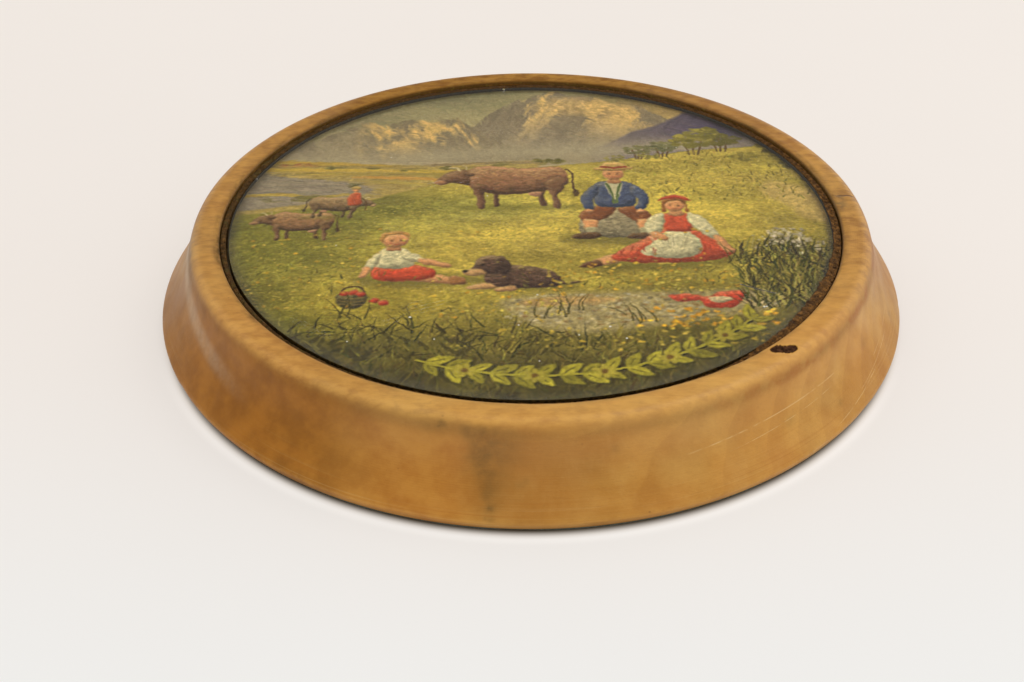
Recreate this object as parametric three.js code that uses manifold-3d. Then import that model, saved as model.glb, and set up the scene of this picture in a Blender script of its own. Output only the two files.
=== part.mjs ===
// A round shop-counter coin tray: a turned wooden frame with a flared, slightly coved flank, and
// in its top recess a stack of backing card, printed picture and glass plate, bedded round its
// edge by a bead of putty. The frame is bored through under the stack, closed below by a thin
// board in a rebate, held by eight panel pins, and covered by a felt pad.
//
// Millimetres, +Z up, origin on the tray's axis at the table. +Y points to the top edge of the
// picture, so a person at -Y sees it the right way up. The wood's grain runs along X.
import * as THREE from "three";
import { mergeVertices } from "three/addons/utils/BufferGeometryUtils.js";
import Module from "manifold-3d";

// ---- driving dimensions: _R is a radius, other sizes are heights above the table ------------
const FRAME_R = 100; // widest point of the flank, just above the foot
const FOOT_R = 98.8;
const FOOT_Z = 1.2; // underside of the frame, just above the felt
const RIM_TOP = 25.2;
const RECESS_R = 82.8; // wall of the top recess
const LEDGE_Z = 19.9; // ledge that carries the card, picture and glass
const BORE_R = 76; // through bore under the stack
const REBATE_R = 92; // rebate in the underside for the base board
const REBATE_Z = 4.4; // shoulder of the rebate

const CARD_R = RECESS_R - 0.4;
const CARD_BOTTOM = LEDGE_Z + 0.1;
const CARD_TOP = CARD_BOTTOM + 1.75;

const PRINT_R = 80.2;
const PRINT_BOTTOM = CARD_TOP + 0.1;
const PRINT_TOP = PRINT_BOTTOM + 0.28;

const GLASS_R = 80.5;
const GLASS_BOTTOM = PRINT_TOP + 0.07;
const GLASS_TOP = GLASS_BOTTOM + 2.4;
const GLASS_CHAMFER = 0.3;

const BEAD_INNER_R = GLASS_R + 0.3;
const BEAD_OUTER_R = RECESS_R - 0.3;
const BEAD_BOTTOM = CARD_TOP + 0.2;
const BEAD_TOP = GLASS_TOP - 0.5;

const BOARD_R = REBATE_R - 0.3;
const BOARD_BOTTOM = FOOT_Z + 0.2;
const BOARD_TOP = REBATE_Z - 0.2;

const PIN_COUNT = 8;
const PIN_CIRCLE_R = 86.5;
const PIN_HEAD_R = 1.3;
const PIN_HEAD_THICKNESS = 0.6;
const PIN_SHANK_R = 0.65;
const PIN_BOTTOM = BOARD_BOTTOM + 0.1; // underside of the head, just inside the base board
const PIN_HEAD_TOP = PIN_BOTTOM + PIN_HEAD_THICKNESS;
const PIN_TIP = 14.2;
const PIN_POINT_LENGTH = 1.6;
const PIN_CLEARANCE = 0.3; // round the pin, in the board and in the frame
const PIN_HOLE_R = PIN_SHANK_R + PIN_CLEARANCE;
const PIN_HOLE_END_GAP = 0.5; // between the pin's tip and the end of its hole

const FELT_R = 98.2;
const FELT_TOP = FOOT_Z - 0.05;
const FELT_CHAMFER = 0.2;

const CUT_OVERRUN = 1; // how far a cutter runs past the face it enters or leaves
const MERGE_TOLERANCE = 1e-4;
const ROUND = 96; // facets round the large pieces
const PIN_ROUND = 12; // facets round the pins and their holes

// Outside of the frame as [radius, height], from the foot up: the undercut edge, the flaring
// flank, a shallow cove, a soft round-over and the flat rim top out to the recess wall.
const OUTER_PROFILE = [
  [FOOT_R, FOOT_Z],
  [99.3, 1.9],
  [99.8, 2.8],
  [FRAME_R, 3.7],
  [99.8, 4.5],
  [98.9, 5.9],
  [97.1, 8.6],
  [95.2, 11.9],
  [93.5, 15.2],
  [92.2, 18.2],
  [91.2, 21.1],
  [90.6, RIM_TOP - 2.3],
  [90.0, RIM_TOP - 1.1],
  [89.0, RIM_TOP - 0.3],
  [87.6, RIM_TOP],
  [RECESS_R + 0.9, RIM_TOP],
  [RECESS_R + 0.3, RIM_TOP - 0.15],
  [RECESS_R, RIM_TOP - 0.6],
];

const wasm = await Module();
wasm.setup();

// ---- helpers --------------------------------------------------------------------------------
// A body of revolution about +Z. The profile is a list of [radius, height] that runs
// counter-clockwise in the half plane (up the outside, in over the top, down the inside).
function turned(profile, round = ROUND) {
  const points = profile.map(([radius, height]) => new THREE.Vector2(radius, height));
  return new THREE.LatheGeometry(points, round).rotateX(Math.PI / 2);
}

function disc(radius, bottom, top, round = ROUND) {
  const profile = [[0, bottom], [radius, bottom], [radius, top], [0, top]];
  return turned(profile, round);
}

// A three.js geometry as a manifold-3d solid. Normals and uvs go first, because they would
// keep the vertices along the lathe's seam apart.
function toSolid(geometry) {
  const bare = geometry.clone();
  bare.deleteAttribute("normal");
  bare.deleteAttribute("uv");
  const merged = mergeVertices(bare, MERGE_TOLERANCE);
  return new wasm.Manifold(
    new wasm.Mesh({
      numProp: 3,
      vertProperties: merged.attributes.position.array,
      triVerts: new Uint32Array(merged.index.array),
    }),
  );
}

function toGeometry(solid) {
  const { vertProperties, triVerts } = solid.getMesh();
  const geometry = new THREE.BufferGeometry();
  geometry.setAttribute("position", new THREE.BufferAttribute(vertProperties, 3));
  geometry.setIndex(new THREE.BufferAttribute(triVerts, 1));
  return geometry;
}

const tray = new THREE.Group();

// Adds a flat-shaded mesh to the tray.
function addPiece(name, geometry, finish) {
  const faceted = geometry.toNonIndexed();
  faceted.computeVertexNormals();
  const mesh = new THREE.Mesh(faceted, new THREE.MeshStandardMaterial(finish));
  mesh.name = name;
  tray.add(mesh);
}

// Angles round the pin circle, half a step off the grain axis so no pin sits on it.
const pinAngles = Array.from(
  { length: PIN_COUNT },
  (_, i) => ((i + 0.5) * 2 * Math.PI) / PIN_COUNT,
);

function atPin(geometry, angle) {
  const x = PIN_CIRCLE_R * Math.cos(angle);
  const y = PIN_CIRCLE_R * Math.sin(angle);
  return geometry.clone().translate(x, y, 0);
}

// Cuts every cutter out of the body at every pin.
function drilledAtPins(body, cutters) {
  let solid = toSolid(body);
  for (const angle of pinAngles) {
    for (const cutter of cutters) solid = solid.subtract(toSolid(atPin(cutter, angle)));
  }
  return toGeometry(solid);
}

// ---- pieces ---------------------------------------------------------------------------------
function turnedFrame() {
  const body = turned([
    ...OUTER_PROFILE,
    [RECESS_R, LEDGE_Z],
    [BORE_R, LEDGE_Z],
    [BORE_R, REBATE_Z],
    [REBATE_R, REBATE_Z],
    [REBATE_R, FOOT_Z],
    [FOOT_R, FOOT_Z],
  ]);
  const holeEnd = PIN_TIP + PIN_HOLE_END_GAP;
  const hole = disc(PIN_HOLE_R, REBATE_Z - CUT_OVERRUN, holeEnd, PIN_ROUND);
  return drilledAtPins(body, [hole]);
}

// A disc with both edges chamfered.
function glassPlate() {
  return turned([
    [0, GLASS_BOTTOM],
    [GLASS_R - GLASS_CHAMFER, GLASS_BOTTOM],
    [GLASS_R, GLASS_BOTTOM + GLASS_CHAMFER],
    [GLASS_R, GLASS_TOP - GLASS_CHAMFER],
    [GLASS_R - GLASS_CHAMFER, GLASS_TOP],
    [0, GLASS_TOP],
  ]);
}

// The putty ring between the glass and the recess wall.
function glazingBead() {
  return turned([
    [BEAD_INNER_R, BEAD_BOTTOM],
    [BEAD_OUTER_R, BEAD_BOTTOM],
    [BEAD_OUTER_R, BEAD_TOP - 0.4],
    [BEAD_OUTER_R - 0.7, BEAD_TOP],
    [BEAD_INNER_R + 0.5, BEAD_TOP - 0.15],
    [BEAD_INNER_R, BEAD_TOP - 0.6],
    [BEAD_INNER_R, BEAD_BOTTOM],
  ]);
}

// The board, with a shank hole and a wider seat for the head at each pin.
function baseBoard() {
  const start = BOARD_BOTTOM - CUT_OVERRUN;
  const shankHole = disc(PIN_HOLE_R, start, BOARD_TOP + CUT_OVERRUN, PIN_ROUND);
  const seatTop = PIN_HEAD_TOP + PIN_CLEARANCE;
  const headSeat = disc(PIN_HEAD_R + PIN_CLEARANCE, start, seatTop, PIN_ROUND);
  return drilledAtPins(disc(BOARD_R, BOARD_BOTTOM, BOARD_TOP), [shankHole, headSeat]);
}

// A panel pin on the tray's axis, head down and point up.
function panelPin() {
  const profile = [
    [0, PIN_BOTTOM],
    [PIN_HEAD_R - 0.15, PIN_BOTTOM],
    [PIN_HEAD_R, PIN_BOTTOM + 0.15],
    [PIN_HEAD_R, PIN_HEAD_TOP - 0.1],
    [PIN_SHANK_R, PIN_HEAD_TOP],
    [PIN_SHANK_R, PIN_TIP - PIN_POINT_LENGTH],
    [0, PIN_TIP],
  ];
  return turned(profile, PIN_ROUND);
}

// A disc with its lower edge chamfered.
function feltPad() {
  return turned([
    [0, 0],
    [FELT_R - FELT_CHAMFER, 0],
    [FELT_R, FELT_CHAMFER],
    [FELT_R, FELT_TOP],
    [0, FELT_TOP],
  ]);
}

// ---- assembly -------------------------------------------------------------------------------
const FINISH = {
  wood: { color: 0xbf8a45, roughness: 0.42 },
  card: { color: 0x9b8a6c, roughness: 0.9 },
  print: { color: 0x7f8a45, roughness: 0.6 },
  glass: { color: 0xe4efe6, roughness: 0.05, transparent: true, opacity: 0.3 },
  putty: { color: 0x4a3219, roughness: 0.85 },
  board: { color: 0xb99a6b, roughness: 0.75 },
  steel: { color: 0x8b8a86, roughness: 0.4, metalness: 0.9 },
  felt: { color: 0x4c5640, roughness: 0.95 },
};

addPiece("turned_frame", turnedFrame(), FINISH.wood);
addPiece("backing_card", disc(CARD_R, CARD_BOTTOM, CARD_TOP), FINISH.card);
addPiece("printed_picture", disc(PRINT_R, PRINT_BOTTOM, PRINT_TOP), FINISH.print);
addPiece("glass_plate", glassPlate(), FINISH.glass);
addPiece("glazing_bead", glazingBead(), FINISH.putty);
addPiece("base_board", baseBoard(), FINISH.board);
const pin = panelPin();
pinAngles.forEach((angle, i) => addPiece(`base_pin_${i + 1}`, atPin(pin, angle), FINISH.steel));
addPiece("felt_pad", feltPad(), FINISH.felt);

export default tray;
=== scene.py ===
"""A turned wooden counter tray with a printed picture under glass, set in putty, on a felt pad.

The tray lies flat: its axis is +Z and the picture faces up. -Y is the front and -X the left.
Blender's units are metres; sizes here are in millimetres unless a comment says metres.
"""
import math

import bpy
import numpy as np
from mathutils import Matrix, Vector


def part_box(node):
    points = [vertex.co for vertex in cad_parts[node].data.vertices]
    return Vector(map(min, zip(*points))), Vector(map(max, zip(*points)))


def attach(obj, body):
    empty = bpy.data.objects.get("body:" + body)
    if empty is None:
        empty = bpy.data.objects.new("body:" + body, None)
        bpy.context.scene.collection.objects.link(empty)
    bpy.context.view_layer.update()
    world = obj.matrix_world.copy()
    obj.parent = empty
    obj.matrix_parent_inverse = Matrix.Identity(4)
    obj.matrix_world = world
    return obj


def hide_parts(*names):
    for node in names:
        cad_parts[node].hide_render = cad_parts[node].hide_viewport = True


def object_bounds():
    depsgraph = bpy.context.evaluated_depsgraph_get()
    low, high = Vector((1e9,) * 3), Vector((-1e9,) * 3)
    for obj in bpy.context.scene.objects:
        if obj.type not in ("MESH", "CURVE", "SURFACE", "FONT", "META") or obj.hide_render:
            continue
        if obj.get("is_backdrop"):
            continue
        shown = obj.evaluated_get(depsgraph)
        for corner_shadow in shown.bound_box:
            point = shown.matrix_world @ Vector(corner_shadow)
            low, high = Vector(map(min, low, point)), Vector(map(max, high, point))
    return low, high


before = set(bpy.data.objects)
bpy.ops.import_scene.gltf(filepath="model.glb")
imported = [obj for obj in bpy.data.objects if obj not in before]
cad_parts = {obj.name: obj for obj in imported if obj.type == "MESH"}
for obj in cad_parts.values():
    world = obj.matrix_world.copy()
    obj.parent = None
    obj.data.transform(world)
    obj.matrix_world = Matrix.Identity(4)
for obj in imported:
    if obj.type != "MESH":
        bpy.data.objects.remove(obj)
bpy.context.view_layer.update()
MM = 0.001  # one millimetre in metres


def disc_size(node):
    """Radius, lowest z and highest z of a round CAD piece."""
    low, high = (np.array(corner_shadow) * 1000 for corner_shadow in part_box(node))
    return float(high[0]), float(low[2]), float(high[2])


R_OUT, FOOT_Z, RIM_TOP = disc_size("turned_frame")
GLASS_R, GLASS_LOW, GLASS_TOP = disc_size("glass_plate")
PRINT_R, PRINT_LOW, PRINT_TOP = disc_size("printed_picture")
BEAD_R, BEAD_LOW, BEAD_TOP = disc_size("glazing_bead")
FELT_R, FELT_LOW, FELT_TOP = disc_size("felt_pad")
CARD_R, CARD_LOW, _ = disc_size("backing_card")
BOARD_R, _, BOARD_TOP = disc_size("base_board")
RECESS_R = CARD_R + 0.4  # the card lies in the recess with this much room round it
LEDGE_Z = CARD_LOW - 0.1
REBATE_R, REBATE_Z = BOARD_R + 0.3, BOARD_TOP + 0.2
BORE_R = 76.0
SHIFT_Y = -0.95  # the glass and the picture lie this far off centre


# ---- noise and curves -------------------------------------------------------------------------
NOISE_TABLES = {}


def value_noise(x, y, seed):
    if seed not in NOISE_TABLES:
        NOISE_TABLES[seed] = np.random.default_rng(seed).random((256, 256))
    table = NOISE_TABLES[seed]
    col, row = np.floor(x).astype(int), np.floor(y).astype(int)
    fx, fy = x - col, y - row
    fx, fy = fx * fx * (3 - 2 * fx), fy * fy * (3 - 2 * fy)
    near, far = table[row & 255], table[(row + 1) & 255]
    near, far = row & 255, (row + 1) & 255
    left, right = col & 255, (col + 1) & 255
    low = table[near, left] * (1 - fx) + table[near, right] * fx
    high = table[far, left] * (1 - fx) + table[far, right] * fx
    return low * (1 - fy) + high * fy


def fractal(x, y, seed, octaves=4):
    """Octaves of noise, 0 to 1."""
    total, weight, norm = 0.0, 1.0, 0.0
    for k in range(octaves):
        total = total + weight * value_noise(x * 2**k + 13.7 * k, y * 2**k + 7.1 * k, seed + k)
        norm += weight
        weight *= 0.5
    return total / norm


def ripple(x, y, seed, octaves=4):
    """The same noise about zero."""
    return fractal(x, y, seed, octaves) - 0.5


def clip01(values):
    return np.clip(values, 0, 1)


def smoothstep(start, end, x):
    t = clip01((x - start) / (end - start))
    return t * t * (3 - 2 * t)


def mix(first, second, share):
    return np.asarray(first, float) * (1 - share) + np.asarray(second, float) * share


def as_points(shape):
    """Points as an array. Text such as "1,2 3,4" holds x,y pairs."""
    if isinstance(shape, str):
        shape = [pair.split(",") for pair in shape.split()]
    return np.array(shape, float)


def curve(shape, closed=True, steps=6):
    """A smooth curve through the points (Catmull-Rom)."""
    p = as_points(shape)
    count = len(p)
    out = []
    for i in range(count if closed else count - 1):
        before, here = p[(i - 1) % count if closed else max(i - 1, 0)], p[i]
        after = p[(i + 1) % count]
        beyond = p[(i + 2) % count if closed else min(i + 2, count - 1)]
        t = np.linspace(0, 1, steps, endpoint=False)[:, None]
        out.append(0.5 * (
            2 * here + (after - before) * t
            + (2 * before - 5 * here + 4 * after - beyond) * t**2
            + (3 * here - before - 3 * after + beyond) * t**3))
    if not closed:
        out.append(p[-1:])
    return np.vstack(out)


def place(shape, cx=0.0, cy=0.0, size=1.0, flip=False, turn=0.0):
    """The shape scaled, mirrored left to right if flipped, turned by degrees and moved."""
    p = as_points(shape) * size
    if flip:
        p[:, 0] = -p[:, 0]
    c, s = math.cos(math.radians(turn)), math.sin(math.radians(turn))
    x, y = p.T
    return np.stack([x * c - y * s, x * s + y * c], 1) + np.array([cx, cy])


def ellipse(cx, cy, rx, ry, turn=0.0, count=28):
    t = np.linspace(0, 2 * math.pi, count, endpoint=False)
    return place(np.stack([rx * np.cos(t), ry * np.sin(t)], 1), cx, cy, turn=turn)


# ---- the painter ------------------------------------------------------------------------------
# It lays outlines and tapered strokes on a square of cells that covers the print, x to the
# right and y up. Colours are 0 to 255.
CELL = 0.15
HALF = 81.0
CELLS = int(round(2 * HALF / CELL))
AXIS = -HALF + (np.arange(CELLS) + 0.5) * CELL
X, Y = np.meshgrid(AXIS, -AXIS)
ALL = slice(None)


def box_blur(values, radius):
    """Three passes of a box blur of that half width in cells, edges held at 0."""
    width = 2 * radius + 1
    for _ in range(3):
        for axis in (0, 1):
            pad = [(0, 0), (0, 0)]
            pad[axis] = (radius + 1, radius)
            sums = np.cumsum(np.pad(values, pad), axis)
            count = values.shape[axis]
            high = np.take(sums, np.arange(width, width + count), axis)
            low = np.take(sums, np.arange(0, count), axis)
            values = (high - low) / width
    return values


def window(low, high):
    """Rows and columns of the cells between two corners."""
    col0 = max(int((low[0] + HALF) / CELL) - 1, 0)
    col1 = min(int((high[0] + HALF) / CELL) + 2, CELLS)
    row0 = max(int((HALF - high[1]) / CELL) - 1, 0)
    row1 = min(int((HALF - low[1]) / CELL) + 2, CELLS)
    return slice(row0, row1), slice(col0, col1)


def mask(points, pad):
    """A window round the outline and 1 for each cell inside it."""
    rows, cols = window(points.min(0) - pad, points.max(0) + pad)
    if rows.stop <= rows.start or cols.stop <= cols.start:
        return rows, cols, np.zeros((0, 0))
    xs, ys = AXIS[cols], -AXIS[rows]
    inside = np.zeros((len(ys), len(xs)), bool)
    for (x1, y1), (x2, y2) in zip(points, np.roll(points, -1, 0)):
        if y1 == y2:
            continue
        hit = np.nonzero((ys > min(y1, y2)) & (ys <= max(y1, y2)))[0]
        if len(hit) == 0:
            continue
        crossing = x1 + (ys[hit] - y1) * (x2 - x1) / (y2 - y1)
        inside[hit] ^= xs[None, :] < crossing[:, None]
    return rows, cols, inside.astype(float)


class Canvas:
    def __init__(self, seed):
        self.cells = np.zeros((CELLS, CELLS, 3))
        self.rng = np.random.default_rng(seed)

    def lay(self, colour, cover, rows=ALL, cols=ALL):
        self.cells[rows, cols] = mix(self.cells[rows, cols], colour, cover[..., None])

    def fill(self, shape, colour, cover=1.0, soft=1, smooth=True, texture=0.0, seed=5):
        """A flat filled outline; soft is the blur of its edge in cells."""
        points = curve(shape) if smooth else as_points(shape)
        rows, cols, inside = mask(points, 0.3 + soft * CELL * 3)
        if inside.size == 0:
            return
        colour = np.asarray(colour, float)
        if texture:
            grain = ripple(X[rows, cols] / 1.2, Y[rows, cols] / 1.2, seed, 3)
            colour = colour * (1 + texture * grain[..., None] * 2)
        self.lay(colour, box_blur(inside, soft) * cover, rows, cols)

    def oval(self, x, y, rx, ry, turn, colour, cover, count=12, soft=1):
        self.fill(ellipse(x, y, rx, ry, turn, count), colour, cover, soft, smooth=False)

    def form(self, shape, colour, depth=1.2, texture=0.12, edge=0.0, light=(-0.45, 0.9),
             warm=0.30, cool=0.34, smooth=True, seed=9):
        """A filled outline with a brushed edge, modelled softly by light from above left."""
        p = curve(shape) if smooth else as_points(shape)
        p = p + ripple(p[:, 0] / 0.9, p[:, 1] / 0.9, seed + 40, 2)[:, None] * 0.5
        rows, cols, inside = mask(p, depth * 2.2 + 0.5)
        if inside.size == 0:
            return
        slope_y, slope_x = np.gradient(box_blur(inside, max(int(depth / CELL), 1)))
        lit = -(slope_x * light[0] - slope_y * light[1])
        lit = lit / (np.abs(lit).max() + 1e-9)
        x, y = X[rows, cols], Y[rows, cols]
        lit = np.clip(lit + 0.8 * ripple(x / 1.9, y / 1.5, seed + 60, 3), -1, 1)[..., None]
        body = np.array(colour, float)
        high = body + (np.array([240, 218, 166]) - body) * warm
        low = body * (1 - cool) + np.array([34, 30, 34]) * 0.3 * cool
        grain = 1 + (0.6 * texture + 0.05) * ripple(x / 0.9, y / 0.7, seed, 3)[..., None] * 2
        shaded = np.where(lit > 0, body + (high - body) * lit, body + (body - low) * lit) * grain
        cover = box_blur(inside, 1)
        if edge:
            rim = clip01(cover * (1 - box_blur(inside, 2)) * 2.2)[..., None] * edge * 0.6
            shaded = mix(shaded, (70, 54, 40), rim)
        self.lay(shaded, cover, rows, cols)

    def forms(self, rows):
        """Modelled shapes from rows of outline, colour, depth, texture and edge."""
        for row in rows:
            self.form(*row)

    def ball(self, x, y, rx, ry, turn, colour, depth, texture=0.12, edge=0.0, count=28):
        self.form(ellipse(x, y, rx, ry, turn, count), colour, depth, texture, edge, smooth=False)

    def stroke(self, x, y, angle, length, width, colour, cover=1.0, bend=0.0, taper=1.0):
        """A brush stroke from (x, y), tapered towards its end and bent sideways by bend."""
        c, s = math.cos(angle), math.sin(angle)
        end_x, end_y = x + c * length, y + s * length
        pad = width + abs(bend) + 0.3
        rows, cols = window((min(x, end_x) - pad, min(y, end_y) - pad),
                            (max(x, end_x) + pad, max(y, end_y) + pad))
        dx, dy = X[rows, cols] - x, Y[rows, cols] - y
        if dx.size == 0:
            return
        u = (dx * c + dy * s) / length
        v = -dx * s + dy * c - bend * u * u
        half = 0.5 * width * np.clip(1 - taper * clip01(u) ** 1.5, 0.12, 1)
        over = np.maximum(-u, u - 1) * length
        distance = np.hypot(np.maximum(over, 0), np.abs(v)) - half
        self.lay(colour, clip01(0.5 - distance / (CELL * 1.4)) * cover, rows, cols)

    def line(self, shape, width, colour, cover):
        p = curve(shape, closed=False, steps=5)
        for start, end in zip(p[:-1], p[1:]):
            d = end - start
            length = float(np.hypot(*d))
            if length > 1e-6:
                self.stroke(*start, math.atan2(d[1], d[0]), length, width, colour, cover,
                            taper=0.0)

    def at(self, x, y):
        """The colour at a point."""
        col = min(max(int((x + HALF) / CELL), 0), CELLS - 1)
        row = min(max(int((HALF - y) / CELL), 0), CELLS - 1)
        return self.cells[row, col].copy()

    def dabs(self, count, box, angle, jitter, length, width, spread, cover, test=None, bend=0.0):
        """Strokes over a box that take the colour under them, each a little changed."""
        rng = self.rng
        x0, y0, x1, y1 = box
        for _ in range(count):
            x, y = rng.uniform(x0, x1), rng.uniform(y0, y1)
            if test is not None and not test(x, y):
                continue
            change = rng.normal(0, spread)
            colour = self.at(x, y) * (1 + change) + rng.normal(0, spread * 26, 3)
            heading = angle(x, y) if callable(angle) else angle
            self.stroke(x, y, heading + rng.normal(0, jitter), length * rng.uniform(0.6, 1.4),
                        width * rng.uniform(0.6, 1.4), colour, cover, rng.normal(0, 1) * bend,
                        taper=0.5)


# ---- things painted more than once ------------------------------------------------------------
SKIN = (206, 150, 108)
SKIN_SHADE = np.array(SKIN) * 0.88
WHITE = (204, 198, 170)


def hill(x):
    """The crest of the pasture against the valley."""
    return np.interp(x, [-82, -62, -46, -32, -18, -2, 14, 30, 46, 62, 82],
                     [3, 7, 11, 18, 25, 29.5, 32.5, 36, 40.5, 42.5, 47])


def spot(x, y, rx, ry):
    """A soft oval over the whole canvas, 1 at its middle."""
    return clip01(1 - ((X - x) / rx) ** 2 - ((Y - y) / ry) ** 2)[..., None]


def cow(cv, cx, cy, size, flip, coat, seed):
    """A grazing cow in profile, its head to the left unless flipped."""
    rng = np.random.default_rng(seed)
    coat = np.array(coat, float)
    dark = coat * 0.62

    def at(shape):
        return place(shape, cx, cy, size, flip)

    def part(shape, colour, depth, texture=0.12, edge=0.0, **shading):
        cv.form(at(shape), colour, depth * size, texture, edge, **shading)

    def streak(shape, width, colour, cover):
        cv.line(at(shape), width * size, colour, cover)

    cv.fill(at("-14,-10.4 -4,-9.4 8,-9.2 18,-9.8 20,-11.4 6,-12 -10,-12"), (112, 108, 50), 0.6,
            soft=4)
    for far_leg in ("-5.4,1 -2.6,1 -3.4,-4.6 -3,-10 -4.6,-10 -4.8,-4.8",
                    "7.2,1.5 10.4,2 8.8,-3.8 9.8,-9.4 8,-9.4 7.2,-4"):
        part(far_leg, dark * 1.02, 0.5, light=(-0.35, 0.6))
    # neck and shoulder, chest, back, rump and belly
    part("-13.2,5.8 -12.4,9 -9.6,11.6 -6,12.2 -1.5,11.2 3,10.6 8,11.4 12,11.6 14.8,9.6 15.6,5.4 "
         "14.6,1.4 11.6,-0.8 7.6,-2.2 2.6,-3.6 -3,-3.8 -7.6,-2.6 -10.8,0 -12.8,2.6",
         coat, 2.6, 0.22, 0.3, light=(-0.35, 0.9), cool=0.46, seed=seed)
    # head, held low in front of the shoulder, and muzzle
    part("-12.2,9.2 -14.6,9.6 -17.2,8.6 -19.4,6.2 -20.8,3.6 -20.6,1.9 -18.6,1.3 -16.6,2.4 "
         "-14.2,2 -11.4,1.6",
         coat * 0.84, 1.2, 0.22, 0.3, light=(-0.35, 0.8), warm=0.28, cool=0.45, seed=seed + 3)
    part("-20.9,3.4 -20.8,1.8 -18.8,1.2 -17.8,2.4 -19.2,3.9", coat * 1.12, 0.5, 0.1)
    for near_leg in (
            "-10.8,1.4 -6.8,1 -7.4,-4 -6.9,-7.2 -7,-11.2 -8.9,-11.2 -9.2,-6.2 -10.2,-3.2",
            "9.8,4 15.2,5 14.2,-1 12.6,-4.4 13.4,-10.8 11.5,-10.8 11,-4.8 9.8,-1"):
        part(near_leg, coat * 0.82, 0.8, 0.16, 0.25, light=(-0.35, 0.5), warm=0.25, cool=0.42)
    # udder, ear, horns and tail
    part("4.6,-2.8 8.2,-2.4 7.8,-4.6 6,-5", (176, 132, 108), 0.5)
    part("-13.4,8.4 -10.6,8 -10.4,6.4 -12.8,6.6", dark * 1.1, 0.5)
    streak("-14.4,9.4 -15.6,11 -17.4,11.2", 0.6, (198, 182, 146), 0.85)
    streak("-12.6,9.8 -12.6,11.6 -13.8,12.4", 0.5, (180, 162, 126), 0.7)
    streak("15,10.2 16.8,7.6 16.8,1.8 17.6,-2.2", 0.6, dark, 0.85)
    cv.fill(at("16.8,-1.6 18.4,-1.8 18.2,-4.6 17,-4.4"), dark * 0.8, 0.8)
    # light along the back, shade under the belly
    streak("-9.4,10.8 -5.6,11.4 -1.4,10.5 3,9.9 8,10.6 12,10.7", 1.1, coat * 1.18 + 14, 0.45)
    streak("-8,-1.7 -3,-2.9 2.6,-2.8 8,-1.4", 1.4, dark * 0.8, 0.45)
    for _ in range(int(260 * size)):  # hair
        x, y = at([(rng.uniform(-12, 15), rng.uniform(-2.5, 11))])[0]
        change = rng.normal(0, 0.10)
        here = cv.at(x, y)
        if here[0] < 190 and abs(here[0] - here[1]) > 14:
            cv.stroke(x, y, rng.normal(-0.2, 0.6), 1.9 * size, 0.5 * size,
                      here * (1 + change) + rng.normal(0, 5, 3), 0.5)


def flowers(cv, count, box, colours, size):
    rng = cv.rng
    for _ in range(count):
        x, y = rng.uniform(box[0], box[2]), rng.uniform(box[1], box[3])
        colour = np.array(colours[rng.integers(len(colours))], float) * rng.uniform(0.85, 1.1)
        r = size * rng.uniform(0.5, 1.3)
        cv.oval(x + 0.15, y - 0.35, r, r * 0.6, 0, (70, 66, 30), 0.35, count=10)
        for _ in range(3):
            cv.oval(x + rng.normal(0, r * 0.5), y + rng.normal(0, r * 0.4), r * 0.62, r * 0.5, 0,
                    colour * rng.uniform(0.9, 1.1), 0.9, count=10)


def grass(cv, count, box, colours, length, width, lean=0.35, cover=0.85, test=None):
    """Upright blades, the far ones first; lean is the spread of their angle in radians."""
    rng = cv.rng
    x0, y0, x1, y1 = box
    for y in np.sort(rng.uniform(y0, y1, count))[::-1]:
        x = rng.uniform(x0, x1)
        if test is not None and not test(x, y):
            continue
        colour = np.array(colours[rng.integers(len(colours))], float) * rng.uniform(0.8, 1.2)
        colour = colour + rng.normal(0, 4, 3)
        cv.stroke(x, y, math.pi / 2 + rng.normal(0, lean), length * rng.uniform(0.4, 1.35),
                  width * rng.uniform(0.5, 1.4), colour, cover, rng.normal(0, 0.22) * length,
                  taper=0.95)


# Parts of a face, in units of its radius: x, y, half width, half height, colour, cover, outline
# points, edge blur.
FACE_PAIRS = [  # eye, brow, cheek
    (0.38, 0.02, 0.13, 0.10, (72, 48, 36), 0.85, 10, 1),
    (0.40, 0.26, 0.22, 0.05, (128, 84, 54), 0.6, 10, 1),
    (0.50, -0.34, 0.26, 0.2, (206, 118, 88), 0.45, 12, 2),
]
FACE_MIDDLE = [  # nose shadow, mouth
    (0.03, -0.22, 0.12, 0.14, (182, 122, 86), 0.55, 10, 1),
    (0.0, -0.56, 0.24, 0.065, (168, 74, 58), 0.8, 10, 1),
]


def face(cv, x, y, r, turn=0.0):
    c, s = math.cos(math.radians(turn)), math.sin(math.radians(turn))
    for side, parts in ((-1, FACE_PAIRS), (1, FACE_PAIRS), (1, FACE_MIDDLE)):
        for u, v, rx, ry, colour, cover, count, soft in parts:
            u = side * u
            cv.oval(x + (u * c - v * s) * r, y + (u * s + v * c) * r, rx * r, ry * r, turn,
                    colour, cover, count, soft)


def tree(cv, x, y, r, base, light, trunk):
    rng = cv.rng
    if trunk:
        for side in (-1, 0, 1):
            dx = side * r * 0.42
            cv.line([(x + dx * 0.6, y - r * 1.7), (x + dx * 0.9, y - r * 0.9),
                     (x + dx * 1.3, y)], 0.55, (104, 84, 58), 0.9)
    for _ in range(int(34 * r / 3)):
        angle, reach = rng.uniform(0, 2 * math.pi), r * math.sqrt(rng.random())
        leaf_x = x + reach * math.cos(angle) * 1.25
        leaf_y = y + reach * math.sin(angle) * 0.8
        lit = (leaf_y - y) / r * 0.5 - (leaf_x - x) / r * 0.3 + rng.normal(0, 0.25)
        colour = mix(base, light, max(lit, 0))
        size = r * rng.uniform(0.16, 0.34)
        cv.oval(leaf_x, leaf_y, size, size * 0.72, rng.uniform(-30, 30),
                np.clip(colour * rng.uniform(0.85, 1.15), 0, 255), 0.8)


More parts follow.
